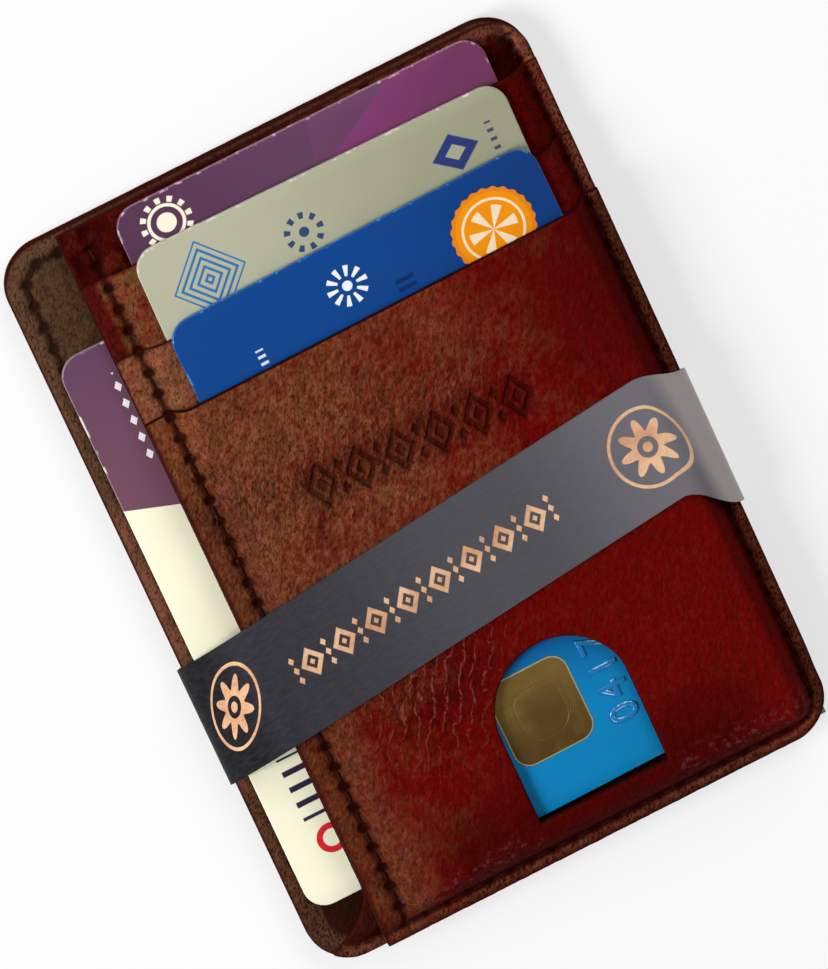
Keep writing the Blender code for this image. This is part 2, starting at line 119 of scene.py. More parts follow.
class Finish:
    """A material under way. `place` is the spot on the piece in mm, from `corner` and turned,
    and `tone` is the colour so far."""

    def __init__(self, name, corner=(0, 0), turn=0.0, **sockets):
        self.material = bpy.data.materials.new(name)
        self.material.use_nodes = True
        self.tree = self.material.node_tree
        self.shader = self.tree.nodes["Principled BSDF"]
        for socket, value in sockets.items():
            self.shader.inputs[socket.replace("_", " ")].default_value = value
        self.place = self.node("TexCoord", output="Object")
        self.measure(self.seen_from((*corner, 0), turn, (MM, MM, MM)))

    def node(self, kind, inputs=None, output=0, **settings):
        """Adds a node, whose inputs take wires, numbers or the codes of colours."""
        made = self.tree.nodes.new("ShaderNode" + kind)
        for key, value in settings.items():
            setattr(made, key, value)
        for key, value in (inputs or {}).items():
            if isinstance(value, Wire):
                self.tree.links.new(value.socket, made.inputs[key])
            else:
                made.inputs[key].default_value = ink(value) if isinstance(value, str) else value
        return Wire(self, made.outputs[output])

    def apart(self, spot):
        """The x, y and z of a spot."""
        return [Wire(self, part) for part in self.node("SeparateXYZ", {0: spot}).socket.node.outputs]

    def measure(self, place):
        """Lays what follows out on this place."""
        self.place = place
        self.x, self.y, _ = self.apart(place)
        self.flat = self.node("VectorMath", {0: place, 1: (1, 1, 0)}, operation="MULTIPLY")

    def joined(self, x, y):
        return self.node("CombineXYZ", {0: x, 1: y})

    def seen_from(self, corner, turn, steps=(1, 1, 1)):
        """The spot measured from a corner, on axes that are turned, in steps of so many mm."""
        measures = {"Vector": self.place, "Location": corner, "Rotation": (0, 0, turn), "Scale": steps}
        return self.node("Mapping", measures, vector_type="TEXTURE")

    def spread(self, size, stretch, shift, turn):
        steps = [size / s for s in (*stretch, 1.0)]
        return self.seen_from([-shift * step for step in steps], turn, steps)

    def cloud(self, size, detail=2.0, stretch=(1, 1), shift=0.0, turn=0.0):
        """Soft noise from 0 to 1 with patches of about this size."""
        spot = self.spread(size, stretch, shift, turn)
        return self.node("TexNoise", {"Vector": spot, "Scale": 1.0, "Detail": detail})

    def pebbled(self, size, stretch=(1, 1), shift=0.0, turn=0.0):
        """0 on the tops of soft, uneven pebbles and about 1 in the furrows between them."""
        spot = self.spread(size, stretch, shift, turn)
        wander = self.node("TexNoise", {"Vector": spot, "Scale": 1.3, "Detail": 2.0}, 1)
        moved = self.node("VectorMath", {0: wander, 1: (1.1, 1.1, 1.1), 2: spot}, operation="MULTIPLY_ADD")
        cells = {"Vector": moved, "Scale": 1.0, "Smoothness": 0.35}
        return self.node("TexVoronoi", cells, "Distance", feature="SMOOTH_F1")

    def given(self, name):
        """A value that the mesh carries."""
        return self.node("Attribute", output="Fac", attribute_name=name)

    def upright(self):
        """1 where the face looks straight up, 0 on a wall."""
        return self.apart(self.node("NewGeometry", output="Normal"))[2]

    def bump(self, height, depth, under=None):
        inputs = {"Height": height, "Distance": depth * MM, "Strength": 1.0}
        if under:
            inputs["Normal"] = under
        return self.node("Bump", inputs)

    def mix(self, share, under, over):
        return self.node("Mix", {0: share, 6: under, 7: over}, 2, data_type="RGBA")

    def ground(self, share, low, high):
        """Starts the tone, between two colours."""
        self.tone = self.mix(share, low, high)

    def over(self, colour, share, *factors):
        """Lays a colour over the tone, by the product of its shares."""
        self.tone = self.mix(math.prod(factors, start=share), self.tone, colour)

    def shade(self, **links):
        """Links the tone and the shader's other sockets, and gives the material."""
        for socket, value in {"Base_Color": self.tone, **links}.items():
            self.tree.links.new(value.socket, self.shader.inputs[socket.replace("_", " ")])
        return self.material

    def away(self, x, y):
        """How far a spot lies from a point."""
        return self.node("VectorMath", {0: self.flat, 1: (x, y, 0)}, "Value", operation="DISTANCE")

    def disc(self, x, y, radius, soft=0.06):
        return self.away(x, y).fade(radius + soft, radius - soft)

    def ring(self, x, y, radius, line, soft=0.06):
        return self.away(x, y).within(radius, line / 2, soft)

    def bar(self, x, y, width, height):
        return self.x.within(x, width / 2) * self.y.within(y, height / 2)

    def spokes(self, x, y, count):
        """A wave that rises from -1 to 1 and back `count` times round a point."""
        turn = (self.y - y).sum("ARCTAN2", self.x - x)
        return (turn * float(count)).sum("COSINE")

    def off_plate(self, half_x, half_y, corner, y=None):
        """How far a spot lies outside a plate with round corners, and beyond its corners' centres."""
        past_x, past_y = abs(self.x) - (half_x - corner), abs(y or self.y) - (half_y - corner)
        outside = self.joined(past_x | 0.0, past_y | 0.0)
        reach = self.node("VectorMath", {0: outside}, "Value", operation="LENGTH")
        return reach + ((past_x | past_y) & 0.0) - corner, reach


def girth(across, along, half_across, half_along):
    """0 at the middle of a diamond and 1 on its outline."""
    return abs(across) * (1 / half_across) + abs(along) * (1 / half_along)


def lozenge(across, along, half_across, half_along, soft=0.05):
    """1 inside a diamond; `across` and `along` are measured from its middle."""
    return girth(across, along, half_across, half_along).fade(1 + soft, 1 - soft)


# Table and light. A plain white table under one large soft light from the upper left of the
# picture and a weaker one from the upper right, in a pale room with a dim ceiling.
def fresh(name, make, **settings):
    """A new object, made by one of Blender's own calls and alone in the selection."""
    bpy.ops.object.select_all(action="DESELECT")
    make(**settings)
    made = bpy.context.object
    made.name = made.data.name = name
    return made


table = fresh("table_top", bpy.ops.mesh.primitive_plane_add, size=12, location=(0, 0, -0.1 * MM))
white = Finish("white_table", Roughness=0.9)
to_camera, glossy, through = (
    white.node("LightPath", output=f"Is {ray} Ray") for ray in ("Camera", "Glossy", "Transmission")
)
plain_white = white.node("Emission", {"Color": (1, 1, 1, 1), "Strength": 1.0})
matt_white = white.node("BsdfDiffuse", {"Color": (0.9, 0.9, 0.9, 1)})
seen = (to_camera | glossy | through) * 0.62
table_look = white.node("MixShader", {0: seen, 1: matt_white, 2: plain_white})
white.tree.links.new(table_look.socket, white.tree.nodes["Material Output"].inputs["Surface"])
table.data.materials.append(white.material)

room = bpy.data.worlds.new("pale_room")
room.use_nodes = True
bpy.context.scene.world = room
room_nodes, room_links = room.node_tree.nodes, room.node_tree.links
direction = room_nodes.new("ShaderNodeTexCoord")
upward = room_nodes.new("ShaderNodeSeparateXYZ")
walls = room_nodes.new("ShaderNodeMapRange")
for end, value in (("From Min", 0.05), ("From Max", 0.75), ("To Min", 0.60), ("To Max", 0.14)):
    walls.inputs[end].default_value = value
room_links.new(direction.outputs["Generated"], upward.inputs[0])
room_links.new(upward.outputs["Z"], walls.inputs["Value"])
room_links.new(walls.outputs[0], room_nodes["Background"].inputs["Strength"])
room_nodes["Background"].inputs["Color"].default_value = (1, 1, 1, 1)

for name, way, distance, size, power in (
    ("upper_left_light", (-0.78, 0.18, 0.62), 1.3, 0.6, 16.6),
    ("upper_right_light", (0.45, 0.65, 0.62), 1.4, 0.9, 8.0),
):
    light = bpy.data.lights.new(name, "AREA")
    light.shape, light.size, light.energy = "DISK", size, power
    lamp = bpy.data.objects.new(name, light)
    lamp.location = Vector(way).normalized() * distance
    lamp.rotation_euler = Vector(way).to_track_quat("Z", "Y").to_euler()
    bpy.context.scene.collection.objects.link(lamp)

# Outer back. One piece of waxed cowhide, 0.9 mm thick, with round corners and its grain
# side out, which is down here. The threads of both outer seams lie in grooves in it.
back_low, back_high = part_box("outer_back")
HALF_WIDTH, HALF_LENGTH = back_high.x, back_high.y
SIDE, END = 38.3, 55.31
END_ROWS = 0.41
CORNER = 6.3 * MM
CREASE = 0.4 * MM
EDGE_SEAM = 1.95 * MM
BACK_SEAM = 2.75 * MM
BACK_SEAM_END = HALF_WIDTH - 5 * MM
STITCH_PITCH = 3.2 * MM
THREAD_END = 3.0 * MM
FLARE_TOP = -HALF_LENGTH + 9.8 * MM
NEAR_SIDE, NEAR_END = 30 * MM, 45 * MM
FAR = 1.0
HOLE_REACH, SEAM_REACH = 0.85 * MM, 0.70 * MM
GRAIN_TURN = math.radians(-28)
GRAIN_SEED = 1
corner_x, corner_y = HALF_WIDTH - CORNER, HALF_LENGTH - CORNER
noise.seed_set(GRAIN_SEED)


def lines(start, *spans):
    """Places of mesh lines in metres, from mm: each span is where it ends and its spacing."""
    places = [start]
    for end, spacing in spans:
        count = max(1, round(abs(end - places[-1]) / spacing))
        places += [places[-1] + (end - places[-1]) * (i + 1) / count for i in range(count)]
    return np.array(places) * MM


def side_reach(y):
    """How far the back reaches to each side at y, round its corners."""
    over = np.clip(np.abs(y) - corner_y, 0, CORNER)
    return corner_x + np.sqrt(CORNER**2 - over**2)


def from_edge(x, y):
    """How far inside the back's outline a place lies."""
    over_x, over_y = np.abs(x) - corner_x, np.abs(y) - corner_y
    outside = np.hypot(np.maximum(over_x, 0), np.maximum(over_y, 0))
    return CORNER - outside - np.minimum(np.maximum(over_x, over_y), 0)


def quarter(centre_x, centre_y, radius, start, end, steps=12):
    """Points of an arc between two angles in degrees."""
    angles = np.radians(np.linspace(start, end, steps + 1))
    return list(zip(centre_x + radius * np.cos(angles), centre_y + radius * np.sin(angles)))


def run_along(points):
    """How far along a path each of its points lies."""
    return np.concatenate([[0], np.cumsum(np.hypot(*np.diff(points, axis=0).T))])


def pricked(points):
    """The places of the stitch holes along a seam."""
    points = np.array(points)
    run = run_along(points)
    at = np.arange(0, run[-1], STITCH_PITCH)
    return np.interp(at, run, points[:, 0]), np.interp(at, run, points[:, 1])


joining_seam = pricked(
    [(HALF_WIDTH - EDGE_SEAM, HALF_LENGTH - THREAD_END)]
    + quarter(corner_x, -corner_y, CORNER - EDGE_SEAM, 360, 270)
    + [(-corner_x, -HALF_LENGTH + EDGE_SEAM)]
)
back_seam = pricked(
    [(-HALF_WIDTH + BACK_SEAM, FLARE_TOP)]
    + quarter(-corner_x, corner_y, CORNER - BACK_SEAM, 180, 90)
    + [(BACK_SEAM_END, HALF_LENGTH - BACK_SEAM)]
)


def off_joining_seam(x, y):
    beside = ((x > NEAR_SIDE) & (y < HALF_LENGTH - THREAD_END)) | ((y < -NEAR_END) & (x > -corner_x))
    return np.where(beside, np.abs(from_edge(x, y) - EDGE_SEAM), FAR)


def off_back_seam(x, y):
    beside = ((x < -NEAR_SIDE) & (y > FLARE_TOP)) | ((y > NEAR_END) & (x < BACK_SEAM_END))
    return np.where(beside, np.abs(from_edge(x, y) - BACK_SEAM), FAR)


def hump(off, reach):
    """1 on a line or spot, falling to 0 beyond its reach."""
    return np.exp(-((off / reach) ** 2))


def eased(value, low, high):
    """0 up to the low value and 1 from the high one, with soft ends."""
    share = np.clip((value - low) / (high - low), 0, 1)
    return share * share * (3 - 2 * share)


def pulled(x, y, seam, off, along=0.52, at_holes=1.0):
    """How far the leather is pulled in by a seam, from 0 to 1: all along it and at its holes."""
    hole = np.zeros_like(x)
    close = np.flatnonzero(off < 1.2 * MM)
    gaps = np.hypot(x[close, None] - seam[0], y[close, None] - seam[1]).min(axis=1)
    hole[close] = hump(gaps, HOLE_REACH)
    return np.maximum(along * hump(off, SEAM_REACH), at_holes * hole)


def pebbles(x, y, width, length, seed):
    """0 in the furrows of the leather's grain and 1 on its pebbles, sizes in mm."""
    tops = []
    for across, along in zip(x / MM, y / MM):
        wander = noise.noise_vector(Vector((across / 5, along / 7, seed)))
        spot = Vector((across / width + wander.x * 0.8, along / length + wander.y * 0.8, seed))
        near = noise.voronoi(spot)[0]
        tops.append(near[1] - near[0])
    return eased(np.array(tops), 0, 0.32)


def lumps(x, y, width, seed, length=None):
    """Smooth noise from -1 to 1, sizes in mm."""
    spots = zip(x / MM / width, y / MM / (length or width))
    return np.array([noise.noise(Vector((*spot, seed))) for spot in spots])


def read(items, field, width=1, kind=float):
    """What each of a mesh's items says in a field."""
    values = np.empty(len(items) * width, kind)
    items.foreach_get(field, values)
    return values.reshape(-1, width) if width > 1 else values


def places(piece):
    return read(piece.data.vertices, "co", 3)


def edge_ends(piece):
    return read(piece.data.edges, "vertices", 2, int)


def place_vertices(piece, x, y, z):
    piece.data.vertices.foreach_set("co", np.column_stack([x, y, z]).ravel())
    piece.data.update()


def carry(piece, tag, values, kind="FLOAT"):
    """Writes a value for each vertex on the mesh."""
    numbers = np.asarray(values, np.int32 if kind == "INT" else np.float32)
    piece.data.attributes.new(tag, kind, "POINT").data.foreach_set("value", numbers)


def work_on(piece, kind, wanted, tool, **settings):
    """Uses a tool of edit mode on some of a piece's vertices, edges or faces."""
    modes = {"VERT": piece.data.vertices, "EDGE": piece.data.edges, "FACE": piece.data.polygons}
    bpy.context.tool_settings.mesh_select_mode = [kind == mode for mode in modes]
    for mode, group in modes.items():
        group.foreach_set("select", wanted if mode == kind else np.zeros(len(group), bool))
    bpy.ops.object.mode_set(mode="EDIT")
    tool(**settings)
    bpy.ops.object.mode_set(mode="OBJECT")


def modify(piece, kind, **settings):
    """Adds a modifier to a piece and applies it."""
    added = piece.modifiers.new(kind.lower(), kind)
    for key, value in settings.items():
        setattr(added, key, value)
    bpy.context.view_layer.objects.active = piece
    bpy.ops.object.modifier_apply(modifier=added.name)


def rim_vertices(piece):
    """Which vertices lie on the open edges of a sheet."""
    sides = np.zeros(len(piece.data.edges), int)
    np.add.at(sides, read(piece.data.loops, "edge_index", kind=int), 1)
    on_rim = np.zeros(len(piece.data.vertices), bool)
    on_rim[edge_ends(piece)[sides == 1].ravel()] = True
    return on_rim


def thin_out(piece, hidden, every=4):
    """Takes most mesh lines out of the side of a ply that nothing shows."""
    tags = [read(piece.data.attributes[tag].data, "value", kind=np.int32) for tag in ("column", "row", "rim")]
    column, row, rim = tags
    a, b = edge_ends(piece).T
    spare = (column[a] == column[b]) & (column[a] % every != 0)
    spare |= (row[a] == row[b]) & (row[a] % every != 0)
    spare &= hidden[a] & hidden[b] & ~((rim[a] == 1) & (rim[b] == 1))
    work_on(piece, "EDGE", spare, bpy.ops.mesh.dissolve_edges, use_verts=True)


def cut_out(piece, off_cut, spacing):
    """Takes a hole out of a flat grid and draws the mesh to the hole's outline."""
    centres = np.array([polygon.center[:2] for polygon in piece.data.polygons])
    work_on(piece, "FACE", off_cut(*centres.T) < 0, bpy.ops.mesh.delete, type="FACE")
    spots = places(piece)
    nudge = spacing / 100
    for _ in range(3):
        x, y = spots[:, 0], spots[:, 1]
        off = off_cut(x, y)
        on_rim = rim_vertices(piece) & (off < spacing)
        slope_x = (off_cut(x + nudge, y) - off) / nudge
        slope_y = (off_cut(x, y + nudge) - off) / nudge
        spots[:, 0] -= np.where(on_rim, off * slope_x, 0)
        spots[:, 1] -= np.where(on_rim, off * slope_y, 0)
    place_vertices(piece, *spots.T)
    work_on(piece, "VERT", on_rim, bpy.ops.mesh.remove_doubles, threshold=spacing * 0.35)
    off = off_cut(*places(piece)[:, :2].T)
    near = (off > spacing * 0.1) & (off < spacing * 2.2)
    work_on(piece, "VERT", near, bpy.ops.mesh.vertices_smooth, factor=0.5, repeat=4)


def coat(piece, finish, bend):
    """Gives a piece its finish, smooth across all edges that bend less than this, in degrees."""
    piece.data.materials.clear()
    piece.data.materials.append(finish)
    piece.data.polygons.foreach_set("material_index", np.zeros(len(piece.data.polygons), np.int32))
    bpy.ops.object.select_all(action="DESELECT")
    piece.select_set(True)
    bpy.ops.object.shade_smooth_by_angle(angle=math.radians(bend))


def stand_in(piece, body, slot, *nodes):
    """Hands a finished piece to the frame, in place of the plain solids that it stands for."""
    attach(piece, body)
    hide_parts(*nodes)


def leather_ply(
    name, slot, node, columns, rows, drawn, thickness, lies_at, surface, finish, shows_up=True, off_cut=None
):
    """A ply: a grid drawn to its outline, thickened, laid over what is under it and grained.

    `drawn` moves grid places to the outline, `lies_at` gives the underside's height, and
    `surface` gives the relief of the side that shows and the values that its finish reads."""
    cells = {"x_subdivisions": len(columns) - 1, "y_subdivisions": len(rows) - 1}
    ply = fresh(name, bpy.ops.mesh.primitive_grid_add, size=1, **cells)
    across, along = (grid.ravel() for grid in np.meshgrid(columns, rows))
    place_vertices(ply, *drawn(across, along), np.zeros_like(across))
    carry(ply, "column", np.arange(len(across)) % len(columns), "INT")
    carry(ply, "row", np.arange(len(across)) // len(columns), "INT")
    if off_cut:
        cut_out(ply, off_cut, (columns[-1] - columns[0]) / (len(columns) - 1))
    carry(ply, "rim", rim_vertices(ply), "INT")
    modify(ply, "SOLIDIFY", thickness=thickness, offset=-1.0)
    thin_out(ply, (places(ply)[:, 2] > -thickness / 2) != shows_up)

    x, y, z = places(ply).T
    relief, values = surface(x, y)
    rise = np.where((z > -thickness / 2) == shows_up, relief if shows_up else -relief, 0)
    place_vertices(ply, x, y, z + thickness + lies_at(x, y) + rise)
    for tag in ("column", "row", "rim"):
        ply.data.attributes.remove(ply.data.attributes[tag])
    for tag, value in values.items():
        carry(ply, tag, value)
    coat(ply, finish, 70)
    stand_in(ply, "holder", slot, node)


def skin(x, y, edge, seams, seed, pebble=(0.95, 1.35), depth=0.05, strip=0.0, round_over=0.32, sewn=0.42):
    """The relief that every ply of the holder has, in metres, with the values for its finish.

    `edge` is how far each place lies from a cut edge, `seams` hold what `pulled` needs of each
    and `sewn` is how many mm deep the stitches pull the leather in."""
    grain = pebbles(x, y, *pebble, seed)
    pull = np.max([pulled(x, y, *seam) for seam in seams], axis=0)
    drop = np.clip(1 - edge / (round_over * MM), 0, 1)
    rounded = round_over * 0.75 * (1 - np.sqrt(1 - drop**2))
    rough = lumps(x, y, 0.9, seed + 5)
    relief = depth * (grain - 0.7) + 0.07 * lumps(x, y, 2.6, seed + 3) + 0.10 * strip * rough
    relief = relief * (1 - 0.6 * pull) - sewn * pull - rounded
    worn = strip * np.clip(0.75 + 0.5 * rough, 0, 1)
    rim = np.clip(1.1 - edge / (0.35 * MM), 0, 1)
    return relief * MM, {"grain": grain, "crease": pull, "worn": worn, "rim": rim}


def leather(
    name, broad, seed, worn="#74432F", rim="#330B07", furrow_and_seam_shade="#1A0403", dull=0.46, coarse=0.5,
    then=None, struck=None,
):
    """Waxed, burnished leather. `broad` lays the colour that a ply has from a step away,
    `coarse` is how much its grain shows, `then` lays what is over the grain, and `struck`
    gives how far a die has pressed it."""
    look = Finish(name, Specular_IOR_Level=0.04, Specular_Tint=ink("#E08A78"))
    streaks = look.cloud(0.26, 4.0, (1.0, 0.5), seed, GRAIN_TURN)
    patches = look.cloud(2.2, 3.0, (1.0, 0.6), seed + 7, GRAIN_TURN)
    furrows = look.pebbled(0.55, (1.0, 0.62), seed, GRAIN_TURN).fade(0.30, 0.85)
    broad(look)
    coarse = coarse(look) if callable(coarse) else coarse
    for share, strength in (
        (streaks.fade(0.54, 0.32), 1.25),
        (patches.fade(0.46, 0.72), 0.6),
        (furrows, 0.7),
        (look.given("grain").fade(0.5, 0.0), 0.4),
    ):
        look.over(furrow_and_seam_shade, share, coarse, strength)
    look.over(worn, look.given("worn"), streaks.fade(0.34, 0.60))
    # Painted shade: the grooves that the seams pull in are darkened with the furrow colour.
    look.over(furrow_and_seam_shade, look.given("crease").fade(0.08, 0.62, 0, 0.95))
    look.over(rim, look.given("rim"))
    if then:
        then(look)
    deep = look.bump(furrows, -0.045)
    if struck:
        deep = look.bump(struck(look), -0.20, deep)
    gloss = (streaks + furrows * -0.3).fade(0.1, 0.6, dull + 0.14, dull - 0.06)
    stretched = abs(look.upright()).fade(0.95, 0.75, 0, 0.45)
    return look.shade(Roughness=gloss + stretched, Normal=look.bump(streaks, 0.09, deep))


def spans_back(x, y):
    """Draws a grid to the back's round-cornered outline."""
    return x * side_reach(y) / HALF_WIDTH, y


def level(height):
    return lambda x, y: np.full_like(x, height)


def outer_surface(x, y):
    seams = [(joining_seam, off_joining_seam(x, y)), (back_seam, off_back_seam(x, y))]
    return skin(x, y, from_edge(x, y), seams, 1.7, (1.1, 1.5))


def outer_tone(look):
    look.ground(look.cloud(14.0, shift=3.0).fade(0.35, 0.65), "#5A2418", "#3F120C")


leather_ply(
    "outer_back_leather", "outer_leather", "outer_back", lines(-SIDE, (SIDE, 0.42)),
    lines(-END, (-END + END_ROWS, 0.06), (END - END_ROWS, 0.42), (END, 0.06)), spans_back,
    back_high.z - back_low.z, level(back_low.z), outer_surface,
    leather("outer_leather", outer_tone, 1.0), shows_up=False,
)

# Back shield. A metal-coated film 0.1 mm thick between the two back leathers, which keeps card
# readers out. It stays the plain solid that it is, with a brushed and crinkled coating.
film = Finish("shield_film", Metallic=0.9)
brushed = film.cloud(0.4, 3.0, (1.0, 0.06))
film.ground(brushed, "#9C9EA2", "#C2C4C8")
film_look = film.shade(
    Roughness=brushed.fade(0.3, 0.7, 0.25, 0.45), Normal=film.bump(film.pebbled(3.0), 0.05)
)


def dress(node, finish):
    """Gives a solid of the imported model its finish."""
    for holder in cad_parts[node].material_slots:
        holder.material = finish


dress("back_shield", film_look)

# Inner back. Olive-brown leather 0.7 mm thick, glued over the film and sewn round the corner at
# the left. Only its left strip shows, beside the slots.
inner_low, inner_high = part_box("inner_back")


def inner_surface(x, y):
    seams = [(back_seam, off_back_seam(x, y))]
    strip = np.clip(1 - (from_edge(x, y) - BACK_SEAM) / (0.5 * MM), 0, 1) * 0.45
    return skin(x, y, from_edge(x, y), seams, 4.3, (0.9, 1.2), 0.045, strip)


def inner_tone(look):
    along = look.y + look.cloud(9.0).fade(0.2, 0.8, -22, 22)
    look.ground(along.fade(34, -5), "#543C28", "#7E4C3A")
    look.over("#432615", along.fade(-18, -36))
    look.over("#2C120B", look.y.fade(-43, -48))


leather_ply(
    "inner_back_leather", "inner_leather", "inner_back", lines(-SIDE, (-24, 0.36), (SIDE, 1.6)),
    lines(-END, (-END + END_ROWS, 0.06), (END - END_ROWS, 0.40), (END, 0.06)), spans_back,
    inner_high.z - inner_low.z, level(inner_low.z), inner_surface,
    leather("inner_leather", inner_tone, 2.0, worn="#7A5540", furrow_and_seam_shade="#1F120A", dull=0.55),
)

# Side card. A plastic bank-size card, 0.76 mm thick with round corners, in the pocket between
# the back and the slots. It is printed plum above and cream below, and its contact plate is
# let into its face. The other three cards are made in the same way.
CARD_WIDTH, CARD_LENGTH, CARD_THICKNESS = 53.98 * MM, 85.6 * MM, 0.76 * MM
CARD_CORNER = 3.18 * MM
CHIP_WIDTH, CHIP_LENGTH, CHIP_THICKNESS = 11.7 * MM, 13.0 * MM, 0.2 * MM
CHIP_CORNER = 2.4 * MM
CHIP_GAP = 0.05 * MM
PAD_HALF_WIDTH, PAD_HALF_LENGTH = 3.3, 3.7
chip_place = Vector((-CARD_WIDTH / 2 + 22.8 * MM, -CARD_LENGTH + 13.5 * MM, 0))


def rounded_plate(name, low, high, corner, edge):
    """A plate between two corners, round in plan, its sharp edges just broken."""
    plate = fresh(name, bpy.ops.mesh.primitive_cube_add, size=1)
    low, high = Vector(low), Vector(high)
    plate.data.transform(Matrix.Translation((low + high) / 2) @ Matrix.Diagonal((*(high - low), 1)))
    a, b = edge_ends(plate).T
    upright = np.hypot(*(places(plate)[a] - places(plate)[b])[:, :2].T) < 0.001 * MM
    bevel = bpy.ops.mesh.bevel
    work_on(plate, "EDGE", upright, bevel, offset=corner, segments=10, affect="EDGES")
    if edge:
        def break_edges():
            bpy.ops.mesh.region_to_loop()
            bevel(offset=edge, segments=3, affect="EDGES")

        flat_faces = np.array([abs(polygon.normal.z) > 0.9 for polygon in plate.data.polygons])
        work_on(plate, "FACE", flat_faces, break_edges)
    return plate


def chip_contacts(name):
    """The contact plate, a thin leaf with round corners whose plating is cut into pads."""
    chip = fresh(name, bpy.ops.mesh.primitive_grid_add, x_subdivisions=60, y_subdivisions=66, size=1)
    u, v = places(chip)[:, :2].T * 2
    straight_x, straight_y = CHIP_WIDTH / 2 - CHIP_CORNER, CHIP_LENGTH / 2 - CHIP_CORNER

    def past(x, y):
        return np.maximum(np.abs(x) - straight_x, 0), np.maximum(np.abs(y) - straight_y, 0)

    x, y = u * (CHIP_WIDTH / 2), v * (CHIP_LENGTH / 2)
    past_x, past_y = past(x, y)
    longest = np.maximum(np.hypot(past_x, past_y), 1e-9)
    pull = np.where((past_x > 0) & (past_y > 0), np.maximum(past_x, past_y) / longest, 1)
    x = np.sign(x) * (np.minimum(np.abs(x), straight_x) + past_x * pull)
    y = np.sign(y) * (np.minimum(np.abs(y), straight_y) + past_y * pull)
    place_vertices(chip, x, y, np.zeros_like(x))
    modify(chip, "SOLIDIFY", thickness=CHIP_THICKNESS, offset=-1.0)

    x, y, z = places(chip).T
    pad = (np.abs(x / PAD_HALF_WIDTH) ** 3 + np.abs(y / PAD_HALF_LENGTH) ** 3) ** (1 / 3) / MM
    short = np.minimum(np.maximum(np.abs(x) - straight_x, np.abs(y) - straight_y), 0)
    inside = CHIP_CORNER - np.hypot(*past(x, y)) - short
    lip = np.clip(1 - inside / (0.3 * MM), 0, 1)
    sunk = 0.03 * MM * hump(np.abs(pad - 1) * PAD_HALF_WIDTH, 0.16) + 0.02 * MM * lip
    place_vertices(chip, x, y, z - np.where(z > -CHIP_THICKNESS / 2, sunk, 0))
    carry(chip, "pad_across", x / MM)
    carry(chip, "pad_along", y / MM)
    coat(chip, chip_look, 45)
    return chip


def gold_plating():
    """Gold-coloured plating, dulled to olive by the leather, with fine cuts and a pale worn lip."""
    look = Finish("gold_contacts", Metallic=0.7)
    look.measure(look.joined(look.given("pad_across"), look.given("pad_along")))
    x, y, wear = look.x, look.y, look.cloud(2.6, 4.0, shift=1.7)
    look.ground(y.fade(-6, 5), "#725526", "#97783C")
    look.over("#B89A5C", wear.fade(0.35, 0.8, 0, 0.16))
    look.over("#5F472A", look.away(0.6, 0.2).fade(4.2, 1.6), 0.38)
    off_pad, _ = look.off_plate(PAD_HALF_WIDTH, PAD_HALF_LENGTH, CHIP_CORNER / MM)
    beyond = off_pad.fade(-0.1, 0.1)
    cut = off_pad.within(0, 0.05, 0.05)
    for middle, across in ((-2.3, y), (2.5, y), (0, x)):
        cut |= across.within(middle, 0.04, 0.05) * beyond
    cut |= y.within(2.5, 0.04, 0.05) * x.within(0.2, 2.4) * 0.7
    cut |= x.within(0.3, 0.04, 0.05) * y.fade(0.9, 1.1) * 0.7
    beside = y.within(0.2, 2.7, 0.5) * abs(x).fade(2.6, 3.2)
    for bow in (4.15, 4.5, 4.85):
        cut |= look.ring(0, 0.2, bow, 0.09, 0.05) * beside * 0.8
    look.over("#4E3A18", cut, wear.fade(0.25, 0.6, 0.2, 0.62))
    off_edge, _ = look.off_plate(CHIP_WIDTH / 2 / MM, CHIP_LENGTH / 2 / MM, CHIP_CORNER / MM)
    look.over("#D6D3A2", off_edge.fade(-0.24, -0.12))
    scratches = look.bump(look.cloud(0.25, 2.0, (1.0, 0.05)), 0.01)
    return look.shade(Roughness=wear.fade(0.2, 0.8, 0.40, 0.46), Normal=look.bump(cut, -0.03, scratches))


chip_look = gold_plating()


def card_print(name, top_middle, turn, printed, core, gloss):
    """Printed, laminated plastic. `printed` lays the artwork in mm from the top edge's middle."""
    look = Finish(name, top_middle, turn, Specular_IOR_Level=0.25, Coat_Weight=0.12, Coat_Roughness=0.15)
    printed(look)
    half_width, half_length = CARD_WIDTH / 2 / MM, CARD_LENGTH / 2 / MM
    off_edge, corner = look.off_plate(half_width, half_length, CARD_CORNER / MM, look.y + half_length)
    scuffs = look.cloud(1.1, 3.0, (1.0, 0.6), 2.0)
    worn = off_edge.fade(-0.34, -0.04) * scuffs.fade(0.55, 0.62) * corner.fade(1.2, 2.6, 0.06, 1)
    look.over("#1A1A20", look.cloud(15.0, 3.0).fade(0.35, 0.75, 0, 0.07))
    look.over(core, worn * 0.9 | off_edge.fade(-0.10, -0.01) * 0.25)
    hair = look.cloud(0.5, 2.0, (1.0, 0.06), 5.0).fade(0.3, 0.75, gloss, gloss + 0.05)
    return look.shade(Roughness=hair, Normal=look.bump(look.cloud(0.6), 0.002))


